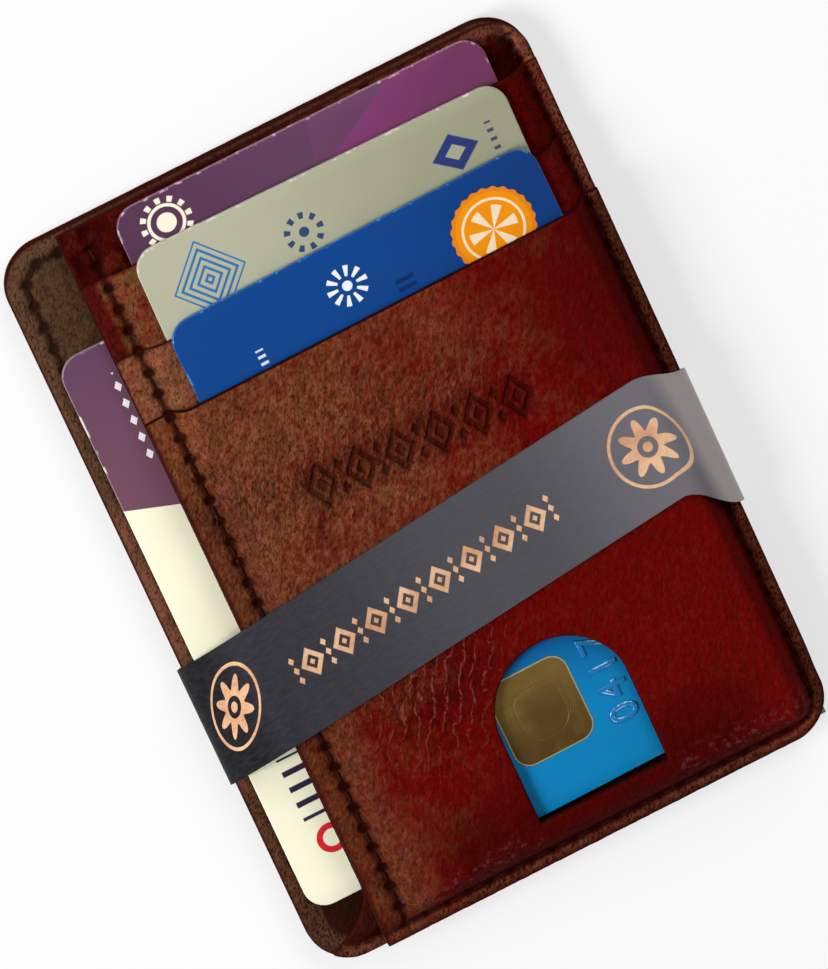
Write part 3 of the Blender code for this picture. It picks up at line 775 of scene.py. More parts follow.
def bank_card(node, finish_name, top_middle, turn, artwork, core="#D8D4C8", gloss=0.3):
    """A card and its contact plate, with the middle of its top edge at a place."""
    body = node + "_body"
    seat = Matrix.Translation((*top_middle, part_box(node)[0].z)) @ Matrix.Rotation(turn, 4, "Z")
    low, high = (-CARD_WIDTH / 2, -CARD_LENGTH, 0), (CARD_WIDTH / 2, 0, CARD_THICKNESS)
    card = rounded_plate(body, low, high, CARD_CORNER, 0.14 * MM)
    reach = Vector((CHIP_WIDTH / 2 + CHIP_GAP, CHIP_LENGTH / 2 + CHIP_GAP, 0))
    floor = Vector((0, 0, CARD_THICKNESS - CHIP_THICKNESS - CHIP_GAP))
    over = Vector((0, 0, CARD_THICKNESS * 2))
    recess = rounded_plate("recess", chip_place - reach + floor, chip_place + reach + over, CHIP_CORNER, 0)
    modify(card, "BOOLEAN", operation="DIFFERENCE", solver="EXACT", object=recess)
    bpy.data.objects.remove(recess, do_unlink=True)
    card.data.transform(seat)
    coat(card, card_print(finish_name, top_middle, turn, artwork, core, gloss), 35)
    stand_in(card, body, node + "_plastic", node)

    chip = chip_contacts(body + "_contacts")
    chip.data.transform(seat @ Matrix.Translation(chip_place + Vector((0, 0, CARD_THICKNESS))))
    stand_in(chip, body, "chip_contacts", node + "_chip")


def side_artwork(look):
    plum = look.mix(look.y.fade(-20, 0), "#71495C", "#62405A")
    look.ground((look.y + look.x * 0.36).fade(-32.3, -32.2), "#F6F3D6", plum)
    dots = lozenge(look.x + 20.6, look.y.repeat(2.6), 0.55, 0.8) * look.y.within(-11.0, 6.6)
    look.over("#F4F0F4", dots)
    bars = look.y.repeat(2.4).within(0, 0.42) * look.y.within(-68.5, 4.8)
    look.over("#2A2440", bars * look.x.within(-21.2, 1.7))
    look.over("#D8232C", look.ring(-20.4, -77.0, 1.7, 0.9))


side_top = (-9.51 * MM, 39.11 * MM)
bank_card("side_card", "plum_and_cream_card", side_top, 0.0, side_artwork, "#EDEAE0")

# Slot base. The 0.6 mm leather behind the slots. It is sewn to the back at the right and the
# foot, where it flares out to the corner, and the side card lifts it everywhere else.
LEATHER_GAP = 0.1 * MM
BASE_THICKNESS = 0.6 * MM
BASE_REACH = 36.46
POCKET_LIFT = 1.36 * MM
CARD_LIFT = CARD_THICKNESS + LEATHER_GAP
SWELL_RUN = 2.6 * MM
FOOT_RUN = 4.0 * MM
FRONT_MOUTH = 27.61 * MM
block_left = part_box("front_panel")[0].x
block_seam_x = sum(corner.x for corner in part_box("block_needle_thread")) / 2
left_foot = block_seam_x + CREASE
slot_left = left_foot + SWELL_RUN
right_foot = HALF_WIDTH - EDGE_SEAM - CREASE
slot_right = right_foot - SWELL_RUN
bottom_foot = -HALF_LENGTH + EDGE_SEAM + CREASE
slot_floor = bottom_foot + FOOT_RUN
slot_middle = (slot_left + slot_right) / 2
base_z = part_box("slot_base")[0].z
rear_tail, rear_mouth = (corner.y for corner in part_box("rear_slot_panel"))
middle_tail, middle_mouth = (corner.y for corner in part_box("middle_slot_panel"))
block_seam = pricked([(block_seam_x, HALF_LENGTH - THREAD_END), (block_seam_x, bottom_foot)])


def climb(value, foot, crest):
    """0 at the foot of a slope and 1 at its crest, rounded over at the crest as leather is."""
    return np.sin(np.clip((value - foot) / (crest - foot), 0, 1) * math.pi / 2)


def pocket_swell(x, y):
    """How far the side card holds the slots off the back, from 0 to 1."""
    return climb(x, right_foot, slot_right) * climb(y, bottom_foot, slot_floor)


def slot_swell(x, y):
    """How far the cards in the slots spread the leather, from 0 to 1."""
    return pocket_swell(x, y) * climb(x, left_foot, slot_left)


def base_height(x, y):
    return base_z + POCKET_LIFT * pocket_swell(x, y)


def block_skin(x, y, edge, seed, depth=0.05, pebble=(0.9, 1.25), **more):
    """The surface of a ply that both seams of the block go through, pressed flat outside them."""
    beside = (y < HALF_LENGTH - THREAD_END) & (y > bottom_foot)
    off_block = np.where(beside, np.abs(x - block_seam_x), FAR)
    seams = [(block_seam, off_block), (joining_seam, off_joining_seam(x, y), 0.44, 0.62)]
    outside = np.clip((EDGE_SEAM - 0.25 * MM - from_edge(x, y)) / (0.35 * MM), 0, 1)
    strip = np.where((x > NEAR_SIDE) | (y < -NEAR_END), outside, 0)
    return skin(x, y, edge, seams, seed, pebble, depth, strip, **more)


def base_left(y):
    """The left edge of the base, which flares out to the corner of the back at its foot."""
    foot_y = -corner_y - CORNER * math.sin(math.pi / 4)
    foot_x = -corner_x - CORNER * math.cos(math.pi / 4)
    share = np.clip((FLARE_TOP - y) / (FLARE_TOP - foot_y), 0, 1)
    flare = block_left + (foot_x - block_left) * share**2
    return np.where(y < foot_y, -side_reach(y), flare)


def spans_base(x, y):
    left = base_left(y)
    share = (x + BASE_REACH * MM) / (BASE_REACH * MM + HALF_WIDTH)
    return left + share * (side_reach(y) - left), y


def base_surface(x, y):
    return block_skin(x, y, np.minimum(from_edge(x, y), x - base_left(y)), 6.1)


def base_tone(look):
    x, y = look.x, look.y
    look.ground(look.cloud(6.0, 3.0).fade(0.4, 0.7), "#2C0202", "#4C0D07")
    look.over("#64200F", look.cloud(3.0, 3.0, shift=4.0).fade(0.48, 0.72), x.fade(-18, -24), 0.8)
    look.over("#5E2E1E", y.fade(50.5, 53.5), look.cloud(2.5).fade(0.35, 0.6), x.fade(-12, 14))
    look.over("#43170F", y.fade(-40, -47))
    look.over("#B46A47", x.fade(35.4, 36.2), look.cloud(1.4, 3.0, shift=6.0).fade(0.4, 0.6))


leather_ply(
    "slot_base_leather", "base_leather", "slot_base",
    lines(-BASE_REACH, (-22, 0.36), (31, 1.0), (SIDE, 0.36)),
    lines(-END, (-END + END_ROWS, 0.06), (-44, 0.36), (46, 1.4), (END - END_ROWS, 0.36), (END, 0.06)),
    spans_base, BASE_THICKNESS, base_height, base_surface,
    leather("base_leather", base_tone, 3.0, worn="#6E4030", dull=0.40),
)

# Rear slot. A 0.5 mm panel that holds the rear card. It stands out by its mouth and is sewn
# across its tail, under the front, where the card stands.
SLOT_THICKNESS = 0.5 * MM
SLOT_PLY = SLOT_THICKNESS + LEATHER_GAP
OVER_BASE = BASE_THICKNESS + LEATHER_GAP
TAIL_RUN = 1.5 * MM
TAIL_STRIP = 4.0 * MM
BLOCK_REACH = 29.3
MOUTH_ROWS = 12.5


def over_tail(y, tail):
    """0 on a panel's sewn tail and 1 past it."""
    return climb(y, tail + TAIL_STRIP - TAIL_RUN, tail + TAIL_STRIP)


def rear_height(x, y):
    return base_height(x, y) + OVER_BASE + CARD_LIFT * slot_swell(x, y) * over_tail(y, rear_tail)


def spans_block(x, y):
    """Draws a grid from the block's left edge to the back's outline at the right."""
    share = (x - block_left) / (HALF_WIDTH - block_left)
    return block_left + share * (side_reach(y) - block_left), y


def slot_panel(name, node, mouth, tail, height, seed, tone, **settings):
    def surface(x, y):
        edge = np.minimum.reduce([from_edge(x, y), x - block_left, mouth - y])
        return block_skin(x, y, edge, seed, sewn=0.24)

    lip = mouth / MM
    leather_ply(
        name, "slot_leather", node, lines(-BLOCK_REACH, (-21, 0.34), (31, 0.8), (SIDE, 0.34)),
        lines(tail / MM, (lip - MOUTH_ROWS, 1.4), (lip - 0.3, 0.34), (lip, 0.15)), spans_block,
        SLOT_THICKNESS, height, surface, leather(name + "_look", tone, seed, **settings),
    )


def redden(look, start, end, red):
    """Turns a panel dark red towards the right."""
    look.over(red, (look.x + look.cloud(5.0).fade(0.2, 0.8, -5, 5)).fade(start, end))


def rear_panel_tone(look):
    look.ground(look.cloud(3.0, 3.0).fade(0.4, 0.62), "#7A4D2E", "#7C311F")
    look.over("#571310", look.x.fade(-26.6, -27.6))
    redden(look, -22, 20, "#560502")


slot_panel(
    "rear_slot_leather", "rear_slot_panel", rear_mouth, rear_tail, rear_height, 8.2, rear_panel_tone,
    dull=0.42,
)

# Rear card. Plum at the left and magenta at the right, with a plain cream sun beside the edge.
def rear_artwork(look):
    look.ground(look.x.fade(-26, 4), "#54334D", "#623E5B")
    look.over("#73446A", (look.x - look.y * 0.27).fade(1.95, 2.1), 0.35)
    magenta = look.mix(look.x.fade(6, 26), "#7E3A6C", "#743860")
    look.over(magenta, (look.x - look.y * 1.72).fade(13.9, 14.1))
    sun = -20.5, -4.2
    rays = look.ring(*sun, 3.2, 0.8) * look.spokes(*sun, 12).fade(0.1, 0.3)
    look.over("#F2EBD8", look.disc(*sun, 1.35) | look.ring(*sun, 2.4, 0.45) | rays)


rear_top = (slot_middle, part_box("rear_card")[1].y)
bank_card("rear_card", "plum_and_magenta_card", rear_top, 0.0, rear_artwork, "#C9A9BE")


# Middle slot. The same panel again, one step lower, for the grey-green card.
def middle_height(x, y):
    lift = SLOT_PLY + 2 * CARD_LIFT * slot_swell(x, y)
    return base_height(x, y) + OVER_BASE + lift * over_tail(y, middle_tail)


def middle_panel_tone(look):
    look.ground(look.cloud(3.5, 3.0).fade(0.35, 0.7), "#8A563A", "#8F5035")
    redden(look, -16, 22, "#620D09")


slot_panel(
    "middle_slot_leather", "middle_slot_panel", middle_mouth, middle_tail, middle_height, 9.4,
    middle_panel_tone,
)

# Middle card. Matt grey-green with plain blue line work: nested diamonds, a ring of dots and
# a solid diamond near the right edge.
MIDDLE_TURN = math.radians(-0.8)


def middle_artwork(look):
    x, y = look.x, look.y
    look.ground(x.fade(-20, 20), "#B0B098", "#A2A287")
    size = abs(x + 18.5) + abs(y + 7.5) * 0.9
    look.over("#2B6FA8", size.repeat(1.15).within(0, 0.24, 0.08), size.fade(5.3, 5.2))
    dial = -4.65, -7.3
    dots = look.ring(*dial, 2.3, 0.9) * look.spokes(*dial, 9).fade(0.05, 0.3)
    look.over("#33466E", dots | look.disc(*dial, 0.7))
    for code, half_width, half_height in (("#2C3A78", 3.4, 2.7), ("#AAAA90", 1.5, 1.2)):
        look.over(code, lozenge(x - 17.9, y + 6.5, half_width, half_height))
    look.over("#4A4E66", y.repeat(1.3).within(0, 0.25), look.bar(23.3, -6.7, 0.9, 4.4))


middle_top = (slot_middle, 48.61 * MM)
bank_card("middle_card", "grey_green_card", middle_top, MIDDLE_TURN, middle_artwork, "#D5D6C4", 0.36)

# Front card. Blue, darker towards the top, with an orange badge, a white ring of bars, and
# raised numerals of its own blue, pale on their bevels with traces of silver and a painted highlight.
FRONT_TURN = math.radians(0.8)
NUMERALS = "0417 5260 3984 6152"
NUMERALS_AT = (7.7 * MM, -79.0 * MM, 0.02 * MM)


def front_artwork(look):
    x, y = look.x, look.y
    look.ground(y.fade(-56, -76), "#0B4288", "#067FB8")
    look.over("#0E3B7C", x.fade(2, 24), y.fade(-30, -2))
    hub = 17.9, -8.6
    look.over("#EE860E", (look.away(*hub) + look.spokes(*hub, 24) * 0.12).fade(5.82, 5.72))
    look.over("#F89606", look.away(*hub).fade(5.25, 5.15))
    star = look.away(*hub).fade(3.4, 3.3) * look.spokes(*hub, 6).fade(0.1, 0.3)
    look.over("#FBE6C6", star | look.ring(*hub, 4.2, 0.35))
    heart = -2.8, -6.2
    burst = look.ring(*heart, 2.1, 1.5) * look.spokes(*heart, 10).fade(0.15, 0.35)
    look.over("#EDEFF6", burst | look.disc(*heart, 0.7))
    look.over("#0A2A60", y.repeat(1.2).within(0, 0.3), look.bar(4.4, -9.5, 2.6, 2.2))
    look.over("#D6DEEC", y.repeat(1.0).within(0, 0.2), look.bar(-17.0, -10.4, 1.1, 3.9))


front_top = (slot_middle, 38.71 * MM)
bank_card("front_card", "blue_card", front_top, FRONT_TURN, front_artwork, "#3F86C4", 0.26)

silver = Finish("raised_numerals", Specular_IOR_Level=0.6, Coat_Weight=0.5, Coat_Roughness=0.08)
tilt = silver.upright()
# The pale tone on the numerals' bevels is partly traces of silver and partly a painted highlight, laid by how
# far each face tilts.
silver_and_painted_highlight = tilt.fade(0.45, 0.85) * tilt.fade(0.999, 0.96) * silver.cloud(1.6, 3.0).fade(0.45, 0.58)
silver.ground(silver_and_painted_highlight * 0.8, "#1172B0", "#CFE6F2")
numeral_look = silver.shade(Roughness=silver.cloud(0.8).fade(0.3, 0.7, 0.18, 0.3))

numerals = fresh("raised_numerals", bpy.ops.object.text_add)
for setting, value in {
    "body": NUMERALS, "size": 5.6 * MM, "space_character": 1.28, "resolution_u": 4, "extrude": 0.05 * MM,
    "bevel_depth": 0.20 * MM, "bevel_resolution": 2, "offset": -0.10 * MM,
}.items():
    setattr(numerals.data, setting, value)
bpy.ops.object.convert(target="MESH")
numerals = bpy.context.object
numerals.name = numerals.data.name = "raised_numerals"
card_face = Matrix.Translation((*front_top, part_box("front_card")[1].z)) @ Matrix.Rotation(FRONT_TURN, 4, "Z")
laid_out = Matrix.Translation(NUMERALS_AT) @ Matrix.Rotation(math.pi / 2, 4, "Z")
numerals.data.transform(card_face @ laid_out)
coat(numerals, numeral_look, 60)
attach(numerals, "front_card_body")

# Front lining. Thin twill glued to the back of the front, so that cards slide in. Only its top
# edge shows, just inside the mouth.
LINING_PLY = 0.25 * MM
LINING_THICKNESS = 0.15 * MM
LINING_INSET = 0.8 * MM
TAIL_FADE = 5.0 * MM
MOUTH_SLOPE = 1 / 76.6
SLOPE_START = -20 * MM
WINDOW_MIDDLE, WINDOW_RADIUS = 5.2 * MM, 9.55 * MM
WINDOW_LIP, WINDOW_SPRING = -47.31 * MM, -33.66 * MM


def lining_height(x, y):
    swell = slot_swell(x, y)
    over_tails = climb(y, middle_tail - TAIL_FADE, middle_tail)
    plies = 2 * SLOT_PLY * (swell + (1 - swell) * over_tails)
    return base_height(x, y) + OVER_BASE + plies + 3 * CARD_LIFT * swell


def mouth_rise(x):
    return MOUTH_SLOPE * (x - slot_middle)


def spans_front(x, y):
    """Draws a grid to the block's outline, its top edge to the slightly sloping mouth."""
    x, y = spans_block(x, y)
    return x, y + mouth_rise(x) * np.clip((y - SLOPE_START) / (FRONT_MOUTH - SLOPE_START), 0, 1)


def off_window(x, y):
    """How far outside the thumb window a place lies."""
    straight = np.maximum(np.abs(x - WINDOW_MIDDLE) - WINDOW_RADIUS, WINDOW_LIP - y)
    arch = np.hypot(x - WINDOW_MIDDLE, y - WINDOW_SPRING) - WINDOW_RADIUS
    return np.where(y > WINDOW_SPRING, arch, straight)


def plain_surface(x, y):
    return np.zeros_like(x), {}


twill = Finish("lining_twill", Sheen_Weight=0.2, Roughness=0.8)
ribs = (twill.x + twill.y).repeat(0.5).within(0, 0.16, 0.1)
twill.ground(ribs, "#1A0A08", "#33140F")
twill_look = twill.shade(Normal=twill.bump(ribs, 0.04))

lining_top = (FRONT_MOUTH - LINING_INSET) / MM
slope_columns = lines(-BLOCK_REACH, (-25.9, 1.1), (-22.7, 0.2), (33.2, 1.0), (36.2, 0.2), (SIDE, 1.0))
slope_rows = lines(-END, (-53.3, 1.0), (-48.9, 0.25), (-46, 0.9), (-40, 0.6), (lining_top, 1.1))
leather_ply(
    "front_lining_cloth", "lining_cloth", "front_lining", slope_columns, slope_rows, spans_front,
    LINING_THICKNESS, lining_height, plain_surface, twill_look,
    off_cut=lambda x, y: off_window(x, y) - 0.2 * MM,
)

# Front shield. The second metal-coated film, between the lining and the front, shut in all round.
SHIELD_THICKNESS = 0.1 * MM
SHIELD_INSET = 1.2
leather_ply(
    "front_shield_film", "shield_film", "front_shield", slope_columns[1:-1], slope_rows[1:-1],
    lambda x, y: (x, y + mouth_rise(x)), SHIELD_THICKNESS,
    lambda x, y: lining_height(x, y) + LINING_PLY - 0.02 * MM, plain_surface, film_look,
    off_cut=lambda x, y: off_window(x, y) - SHIELD_INSET * MM,
)

# Front. One piece of 1 mm waxed leather over the slots, sewn down the left, the foot and the
# right. It has a thumb window, and a row of diamonds pressed into it with a heated die. Its
# face is creased by the cards behind it, brown where it is rubbed and dark red elsewhere, with
# painted shade on its side slopes and in its folds and painted highlights on its ridges and swells.
FRONT_THICKNESS = 1.0 * MM
SHIELD_PLY = 0.2 * MM
DIE_MIDDLE = (2.6 * MM, 8.9 * MM)
DIE_TURN = math.radians(-2.4)
DIE_PITCH, DIE_COUNT = 5.67, 6
DIE_HALF_ROW = DIE_PITCH * DIE_COUNT / 2
DIE_HALF_WIDTH, DIE_HALF_HEIGHT = 2.3, 3.4
DIE_STUD, DIE_STUD_OFF = (0.62, 0.92), 1.75


def front_height(x, y):
    return lining_height(x, y) + LINING_PLY + SHIELD_PLY


def turned(x, y, turn):
    """Places along axes that are turned, as complex numbers."""
    return (x + 1j * y) * complex(math.cos(turn), -math.sin(turn))


def pressed_diamonds(x, y):
    """1 where the die struck, softly falling off, and how far around the row the leather sank."""
    spot = turned(x - DIE_MIDDLE[0], y - DIE_MIDDLE[1], DIE_TURN) / MM
    off_row, off_line = np.abs(spot.real), np.abs(spot.imag)
    across = np.abs((spot.real + DIE_HALF_ROW) % DIE_PITCH - DIE_PITCH / 2)
    size = across / DIE_HALF_WIDTH + off_line / DIE_HALF_HEIGHT
    outline = hump(np.maximum(np.abs(size - 0.80) * 1.74 - 0.26, 0), 0.14)
    heart = hump(np.maximum(size * 1.74 - 0.50, 0), 0.14)
    stud = (DIE_PITCH / 2 - across) / DIE_STUD[0] + np.abs(off_line - DIE_STUD_OFF) / DIE_STUD[1]
    studs = hump(np.maximum(stud - 0.8, 0), 0.25) * (off_row < DIE_HALF_ROW - 1)
    die = np.where(off_row < DIE_HALF_ROW, np.maximum.reduce([outline, heart, studs]), 0)
    reach = np.hypot(np.maximum(off_row - DIE_HALF_ROW + 1.0, 0), np.maximum(off_line - 2.6, 0))
    return die, hump(reach, 1.1)


def die_marks(look):
    """The same marks in the finish, as crisp as the die's edges."""
    along, height, _ = look.apart(look.seen_from((*[place / MM for place in DIE_MIDDLE], 0), DIE_TURN))
    size = girth(along.repeat(DIE_PITCH, -DIE_HALF_ROW), height, DIE_HALF_WIDTH, DIE_HALF_HEIGHT)
    between = along.repeat(DIE_PITCH, -DIE_HALF_ROW - DIE_PITCH / 2)
    studs = lozenge(between, abs(height) - DIE_STUD_OFF, *DIE_STUD, 0.12) * along.within(0, DIE_HALF_ROW - 1)
    return (size.within(0.80, 0.15) | size.fade(0.36, 0.24) | studs) * along.within(0, DIE_HALF_ROW)


def wrinkled(x, y):
    """Where the front is creased: under the mouth, down its left and beside the window."""
    off_mouth, off_right = np.abs(y - 12 * MM) / (15 * MM), (24 * MM - x) / (14 * MM)
    under_mouth = np.clip(1 - off_mouth, 0, 1) * np.clip(off_right, 0, 1)
    beside_window = hump(np.hypot(x + 10 * MM, (y + 20 * MM) * 0.9), 9.5 * MM)
    return np.clip(1.4 * np.maximum(0.45 * under_mouth, beside_window), 0, 1)


def front_surface(x, y):
    mouth = FRONT_MOUTH + mouth_rise(x) - y
    window = np.maximum(off_window(x, y), 0)
    outer = np.minimum(from_edge(x, y), x - block_left)
    edge = np.minimum.reduce([outer, mouth, window])
    inside = np.clip(edge / (1.2 * MM), 0, 1)
    creased = wrinkled(x, y)
    relief, values = block_skin(x, y, edge, 2.9, 0.055, (0.85, 1.15))
    grain = turned(x, y, GRAIN_TURN)
    folds = hump(lumps(grain.real, grain.imag, 1.15, 12.5, 3.4), 0.09) * creased
    net = (1 - pebbles(grain.real, grain.imag, 1.7, 2.9, 31.0)) * creased
    die, sunk = pressed_diamonds(x, y)
    foot_swell = hump(y - slot_floor + 0.6 * MM, 2.0 * MM) * (x > left_foot)
    left_swell = hump(x - slot_left + 0.4 * MM, 1.9 * MM) * (y > bottom_foot)
    relief += (-0.06 * folds - 0.07 * net) * (1 - 0.6 * die) * inside * MM
    relief += 0.16 * MM * lumps(x, y, 7.5, 4.4) * slot_swell(x, y) * inside
    relief -= (0.34 * die + 0.28 * sunk) * MM
    relief += 0.10 * MM * foot_swell * lumps(x * 0.35, y * 1.3, 1.4, 8.8) * inside
    off_lip = np.clip((np.abs(x - WINDOW_MIDDLE) - WINDOW_RADIUS) / (2 * MM), 0, 1)
    below = hump(np.maximum(y + 53 * MM, 0), 2 * MM)
    values.update(
        folds=np.maximum(folds * 0.7, net),
        creased=creased * inside,
        pressed=np.clip(0.5 * die + 0.5 * sunk, 0, 1),
        # bloom marks the swells, where a pale pinkish sheen is painted on as a highlight.
        bloom=np.maximum(foot_swell * off_lip, 0.6 * left_swell),
        rim=np.clip(1.15 - outer / ((0.55 + 0.4 * below) * MM), 0, 1),
        raw=np.clip(1.1 - np.minimum(mouth, window) / (0.18 * MM), 0, 1),
    )
    return relief, values


def tan_share(look):
    """How far the leather is rubbed back to tan: at the upper left, and on the grain's tops."""
    tan = look.x * -0.020 - 0.28 + look.y.fade(-36, 15, 0, 0.82) + look.x.fade(-19, -25, 0, 0.28)
    tan += look.cloud(7.0, 3.0, shift=2.0).fade(0.25, 0.75, -0.2, 0.2)
    return tan & 1.0 | 0.0


def front_tone(look):
    x, y, tan = look.x, look.y, tan_share(look)
    streaks = look.cloud(0.55, 4.0, (1.0, 0.5), 5.0, GRAIN_TURN).fade(0.30, 0.70, -0.5, 0.5)
    look.ground(tan + streaks * (tan + 0.12) & 1.0 | 0.0, "#690705", "#804A2D")
    look.over("#360504", x.fade(12, 34), y.fade(-8, 14), 0.5)
    look.over("#280302", y.fade(-34, -48), x.fade(-24, -14), x.fade(34, 23), 0.62)
    # Painted shade: the slope down to the left seam is darkened.
    look.over("#40160C", x.fade(-21.5, -24), y.fade(22, 13), 0.35)
    # Painted shade: the slope down to the right seam is darkened almost to black.
    look.over("#3A0203", x.fade(32, 35.4, 0, 0.55))


def fine_ridges(look):
    """Soft broken creases that stand up where the leather has been flexed."""
    across = look.apart(look.seen_from((0, 0, 0), GRAIN_TURN))[0]
    wander = look.cloud(3.4, 1.0, (1.0, 0.8), 4.0, GRAIN_TURN) * 3.4
    waver = look.cloud(0.9, 1.0, (1.0, 0.8), 8.0, GRAIN_TURN)
    line = abs((across + (wander + waver)).repeat(1.8)).fade(0.26, 0.04)
    whole = look.cloud(0.5, 1.0, (1.0, 0.7), 2.2, GRAIN_TURN).fade(0.36, 0.56)
    return line * whole * look.given("creased")


def front_coarse(look):
    return tan_share(look).fade(0.0, 0.8, 0.27, 0.44) + look.given("creased") * 0.25


def front_details(look):
    """Painted shade in the folds and round the die's burnt lines, painted highlights on ridges and swells, raw
    cut edges.
    """
    patchy = look.cloud(0.8, 5.0, (0.7, 1.0), 3.3)
    # Painted shade in the folds of the creased leather.
    look.over("#24070A", look.given("folds").fade(0.1, 0.9, 0, 0.36))
    # Painted highlights along the fine ridges.
    look.over("#A0543E", fine_ridges(look), 0.42)
    # The pressed row is darker: partly from the die's heat, and partly painted shade where the leather sank
    # round the row.
    look.over("#2E0708", look.given("pressed").fade(0.1, 0.85, 0, 0.45))
    look.over("#240504", die_marks(look), 0.45)
    # Painted sheen: a pale pinkish highlight laid on the swells by the foot and the left seam.
    bloom = look.given("bloom") * patchy.fade(0.50, 0.62) * look.given("grain").fade(0.1, 0.8)
    look.over("#6E3E46", bloom, 0.42)
    look.over("#2A0A08", look.given("raw"), look.upright().fade(0.85, 0.45))


def front_relief(look):
    """What lies too fine for the mesh: the die's edges below the face, the ridges above it."""
    return die_marks(look) - fine_ridges(look) * 0.7


front_lip = FRONT_MOUTH / MM
leather_ply(
    "front_leather", "front_leather", "front_panel", lines(-BLOCK_REACH, (SIDE, 0.285)),
    lines(-END, (-END + END_ROWS, 0.08), (front_lip - 0.3, 0.30), (front_lip, 0.1)), spans_front,
    FRONT_THICKNESS, front_height, front_surface,
    leather(
        "front_leather", front_tone, 5.0, dull=0.50, coarse=front_coarse, then=front_details,
        struck=front_relief,
    ),
    off_cut=off_window,
)

# Stitches. Waxed maroon thread in lock stitch, eight to the inch. Each stitch is one slanted
# bight of two-strand thread that dips into its holes. They are joined seam by seam.
STITCH_LENGTH = 2.35 * MM
THREAD_WIDTH, THREAD_HEIGHT = 0.54 * MM, 0.36 * MM
STITCH_SUNK = 0.20 * MM
STITCH_SLANT = 0.10 * MM
STITCH_DIP = 0.30 * MM

thread = Finish("waxed_thread", Specular_IOR_Level=0.05)
strands = thread.cloud(0.16)
thread.ground(strands.fade(0.3, 0.7), "#1E0906", "#38170F")
thread_look = thread.shade(Roughness=strands.fade(0.2, 0.8, 0.75, 0.85), Normal=thread.bump(strands, 0.03))


def one_stitch():
    """A stitch along X with its middle at the origin, seen from +Z."""
    cylinder = bpy.ops.mesh.primitive_cylinder_add
    made = fresh("stitch", cylinder, vertices=8, radius=1, depth=2, end_fill_type="TRIFAN")
    heights = places(made)[edge_ends(made), 2]
    long_edges = np.abs(heights[:, 0] - heights[:, 1]) > 1
    work_on(made, "EDGE", long_edges, bpy.ops.mesh.subdivide, number_cuts=7)
    u, v, along = places(made).T
    turn = np.arctan2(v, u) + along * math.pi * 0.85
    lobe = 0.80 + 0.20 * np.cos(2 * (turn - along * math.pi * 1.7))
    round_it = np.hypot(u, v) * lobe * np.sqrt(np.clip(1.04 - along**2, 0.05, 1)) / 2
    y = round_it * np.cos(turn) * THREAD_WIDTH + along * STITCH_SLANT
    z = round_it * np.sin(turn) * THREAD_HEIGHT - STITCH_DIP * along**4
    place_vertices(made, along * STITCH_LENGTH / 2, y, z)
    whole = np.ones(len(made.data.polygons), bool)
    work_on(made, "FACE", whole, bpy.ops.mesh.normals_make_consistent, inside=False)
    coat(made, thread_look, 80)
    return made


def sew(name, seam, height, node, under=False, unbroken=None):
    """Lays a stitch between each two holes of a seam, on a face whose height is given."""
    x, y = seam
    holes = np.column_stack([x, y, height(x, y)])
    mid_x, mid_y = (x[:-1] + x[1:]) / 2, (y[:-1] + y[1:]) / 2
    sunk, over = (STITCH_SUNK, math.pi) if under else (-STITCH_SUNK, 0)
    middles = np.column_stack([mid_x, mid_y, height(mid_x, mid_y) + sunk])
    first, laid = one_stitch(), []
    for start, end, middle in zip(holes, holes[1:], middles):
        if unbroken and not unbroken(start[1], end[1]):
            continue
        copy = first.copy()
        copy.data = first.data.copy()
        bpy.context.scene.collection.objects.link(copy)
        aim = Vector(end - start).to_track_quat("X", "Z").to_matrix().to_4x4()
        copy.data.transform(Matrix.Translation(middle) @ aim @ Matrix.Rotation(over, 4, "X"))
        laid.append(copy)
    bpy.data.objects.remove(first, do_unlink=True)
    bpy.ops.object.select_all(action="DESELECT")
    for copy in laid:
        copy.select_set(True)
    bpy.context.view_layer.objects.active = laid[0]
    bpy.ops.object.join()
    stitches = bpy.context.object
    stitches.name = stitches.data.name = name
    stand_in(stitches, "holder", "thread", node)


def block_top(x, y):
    """The height of the face that shows over the block at a place."""
    base_top = base_height(x, y) + BASE_THICKNESS
    tops = np.where(y < rear_mouth, rear_height(x, y) + SLOT_THICKNESS, base_top)
    tops = np.where(y < middle_mouth, middle_height(x, y) + SLOT_THICKNESS, tops)
    tops = np.where(y < FRONT_MOUTH + mouth_rise(x), front_height(x, y) + FRONT_THICKNESS, tops)
    return np.where(x > block_left, tops, base_top)


def off_the_mouths(start, end):
    """Whether a stitch lies whole on one ply."""
    mouths = (rear_mouth, middle_mouth, FRONT_MOUTH)
    return not any(min(start, end) - 0.5 * MM < mouth < max(start, end) + 0.2 * MM for mouth in mouths)


sew("joining_stitches", joining_seam, block_top, "joining_needle_thread", unbroken=off_the_mouths)
sew("block_stitches", block_seam, block_top, "block_needle_thread", unbroken=off_the_mouths)
sew("back_stitches", back_seam, level(inner_high.z), "back_needle_thread")
sew("joining_stitches_below", joining_seam, level(back_low.z), "joining_bobbin_thread", under=True)
sew("back_stitches_below", back_seam, level(back_low.z), "back_bobbin_thread", under=True)
for hidden_thread in ("block_bobbin_thread", "rear_slot_thread", "middle_slot_thread"):
    dress(hidden_thread, thread_look)

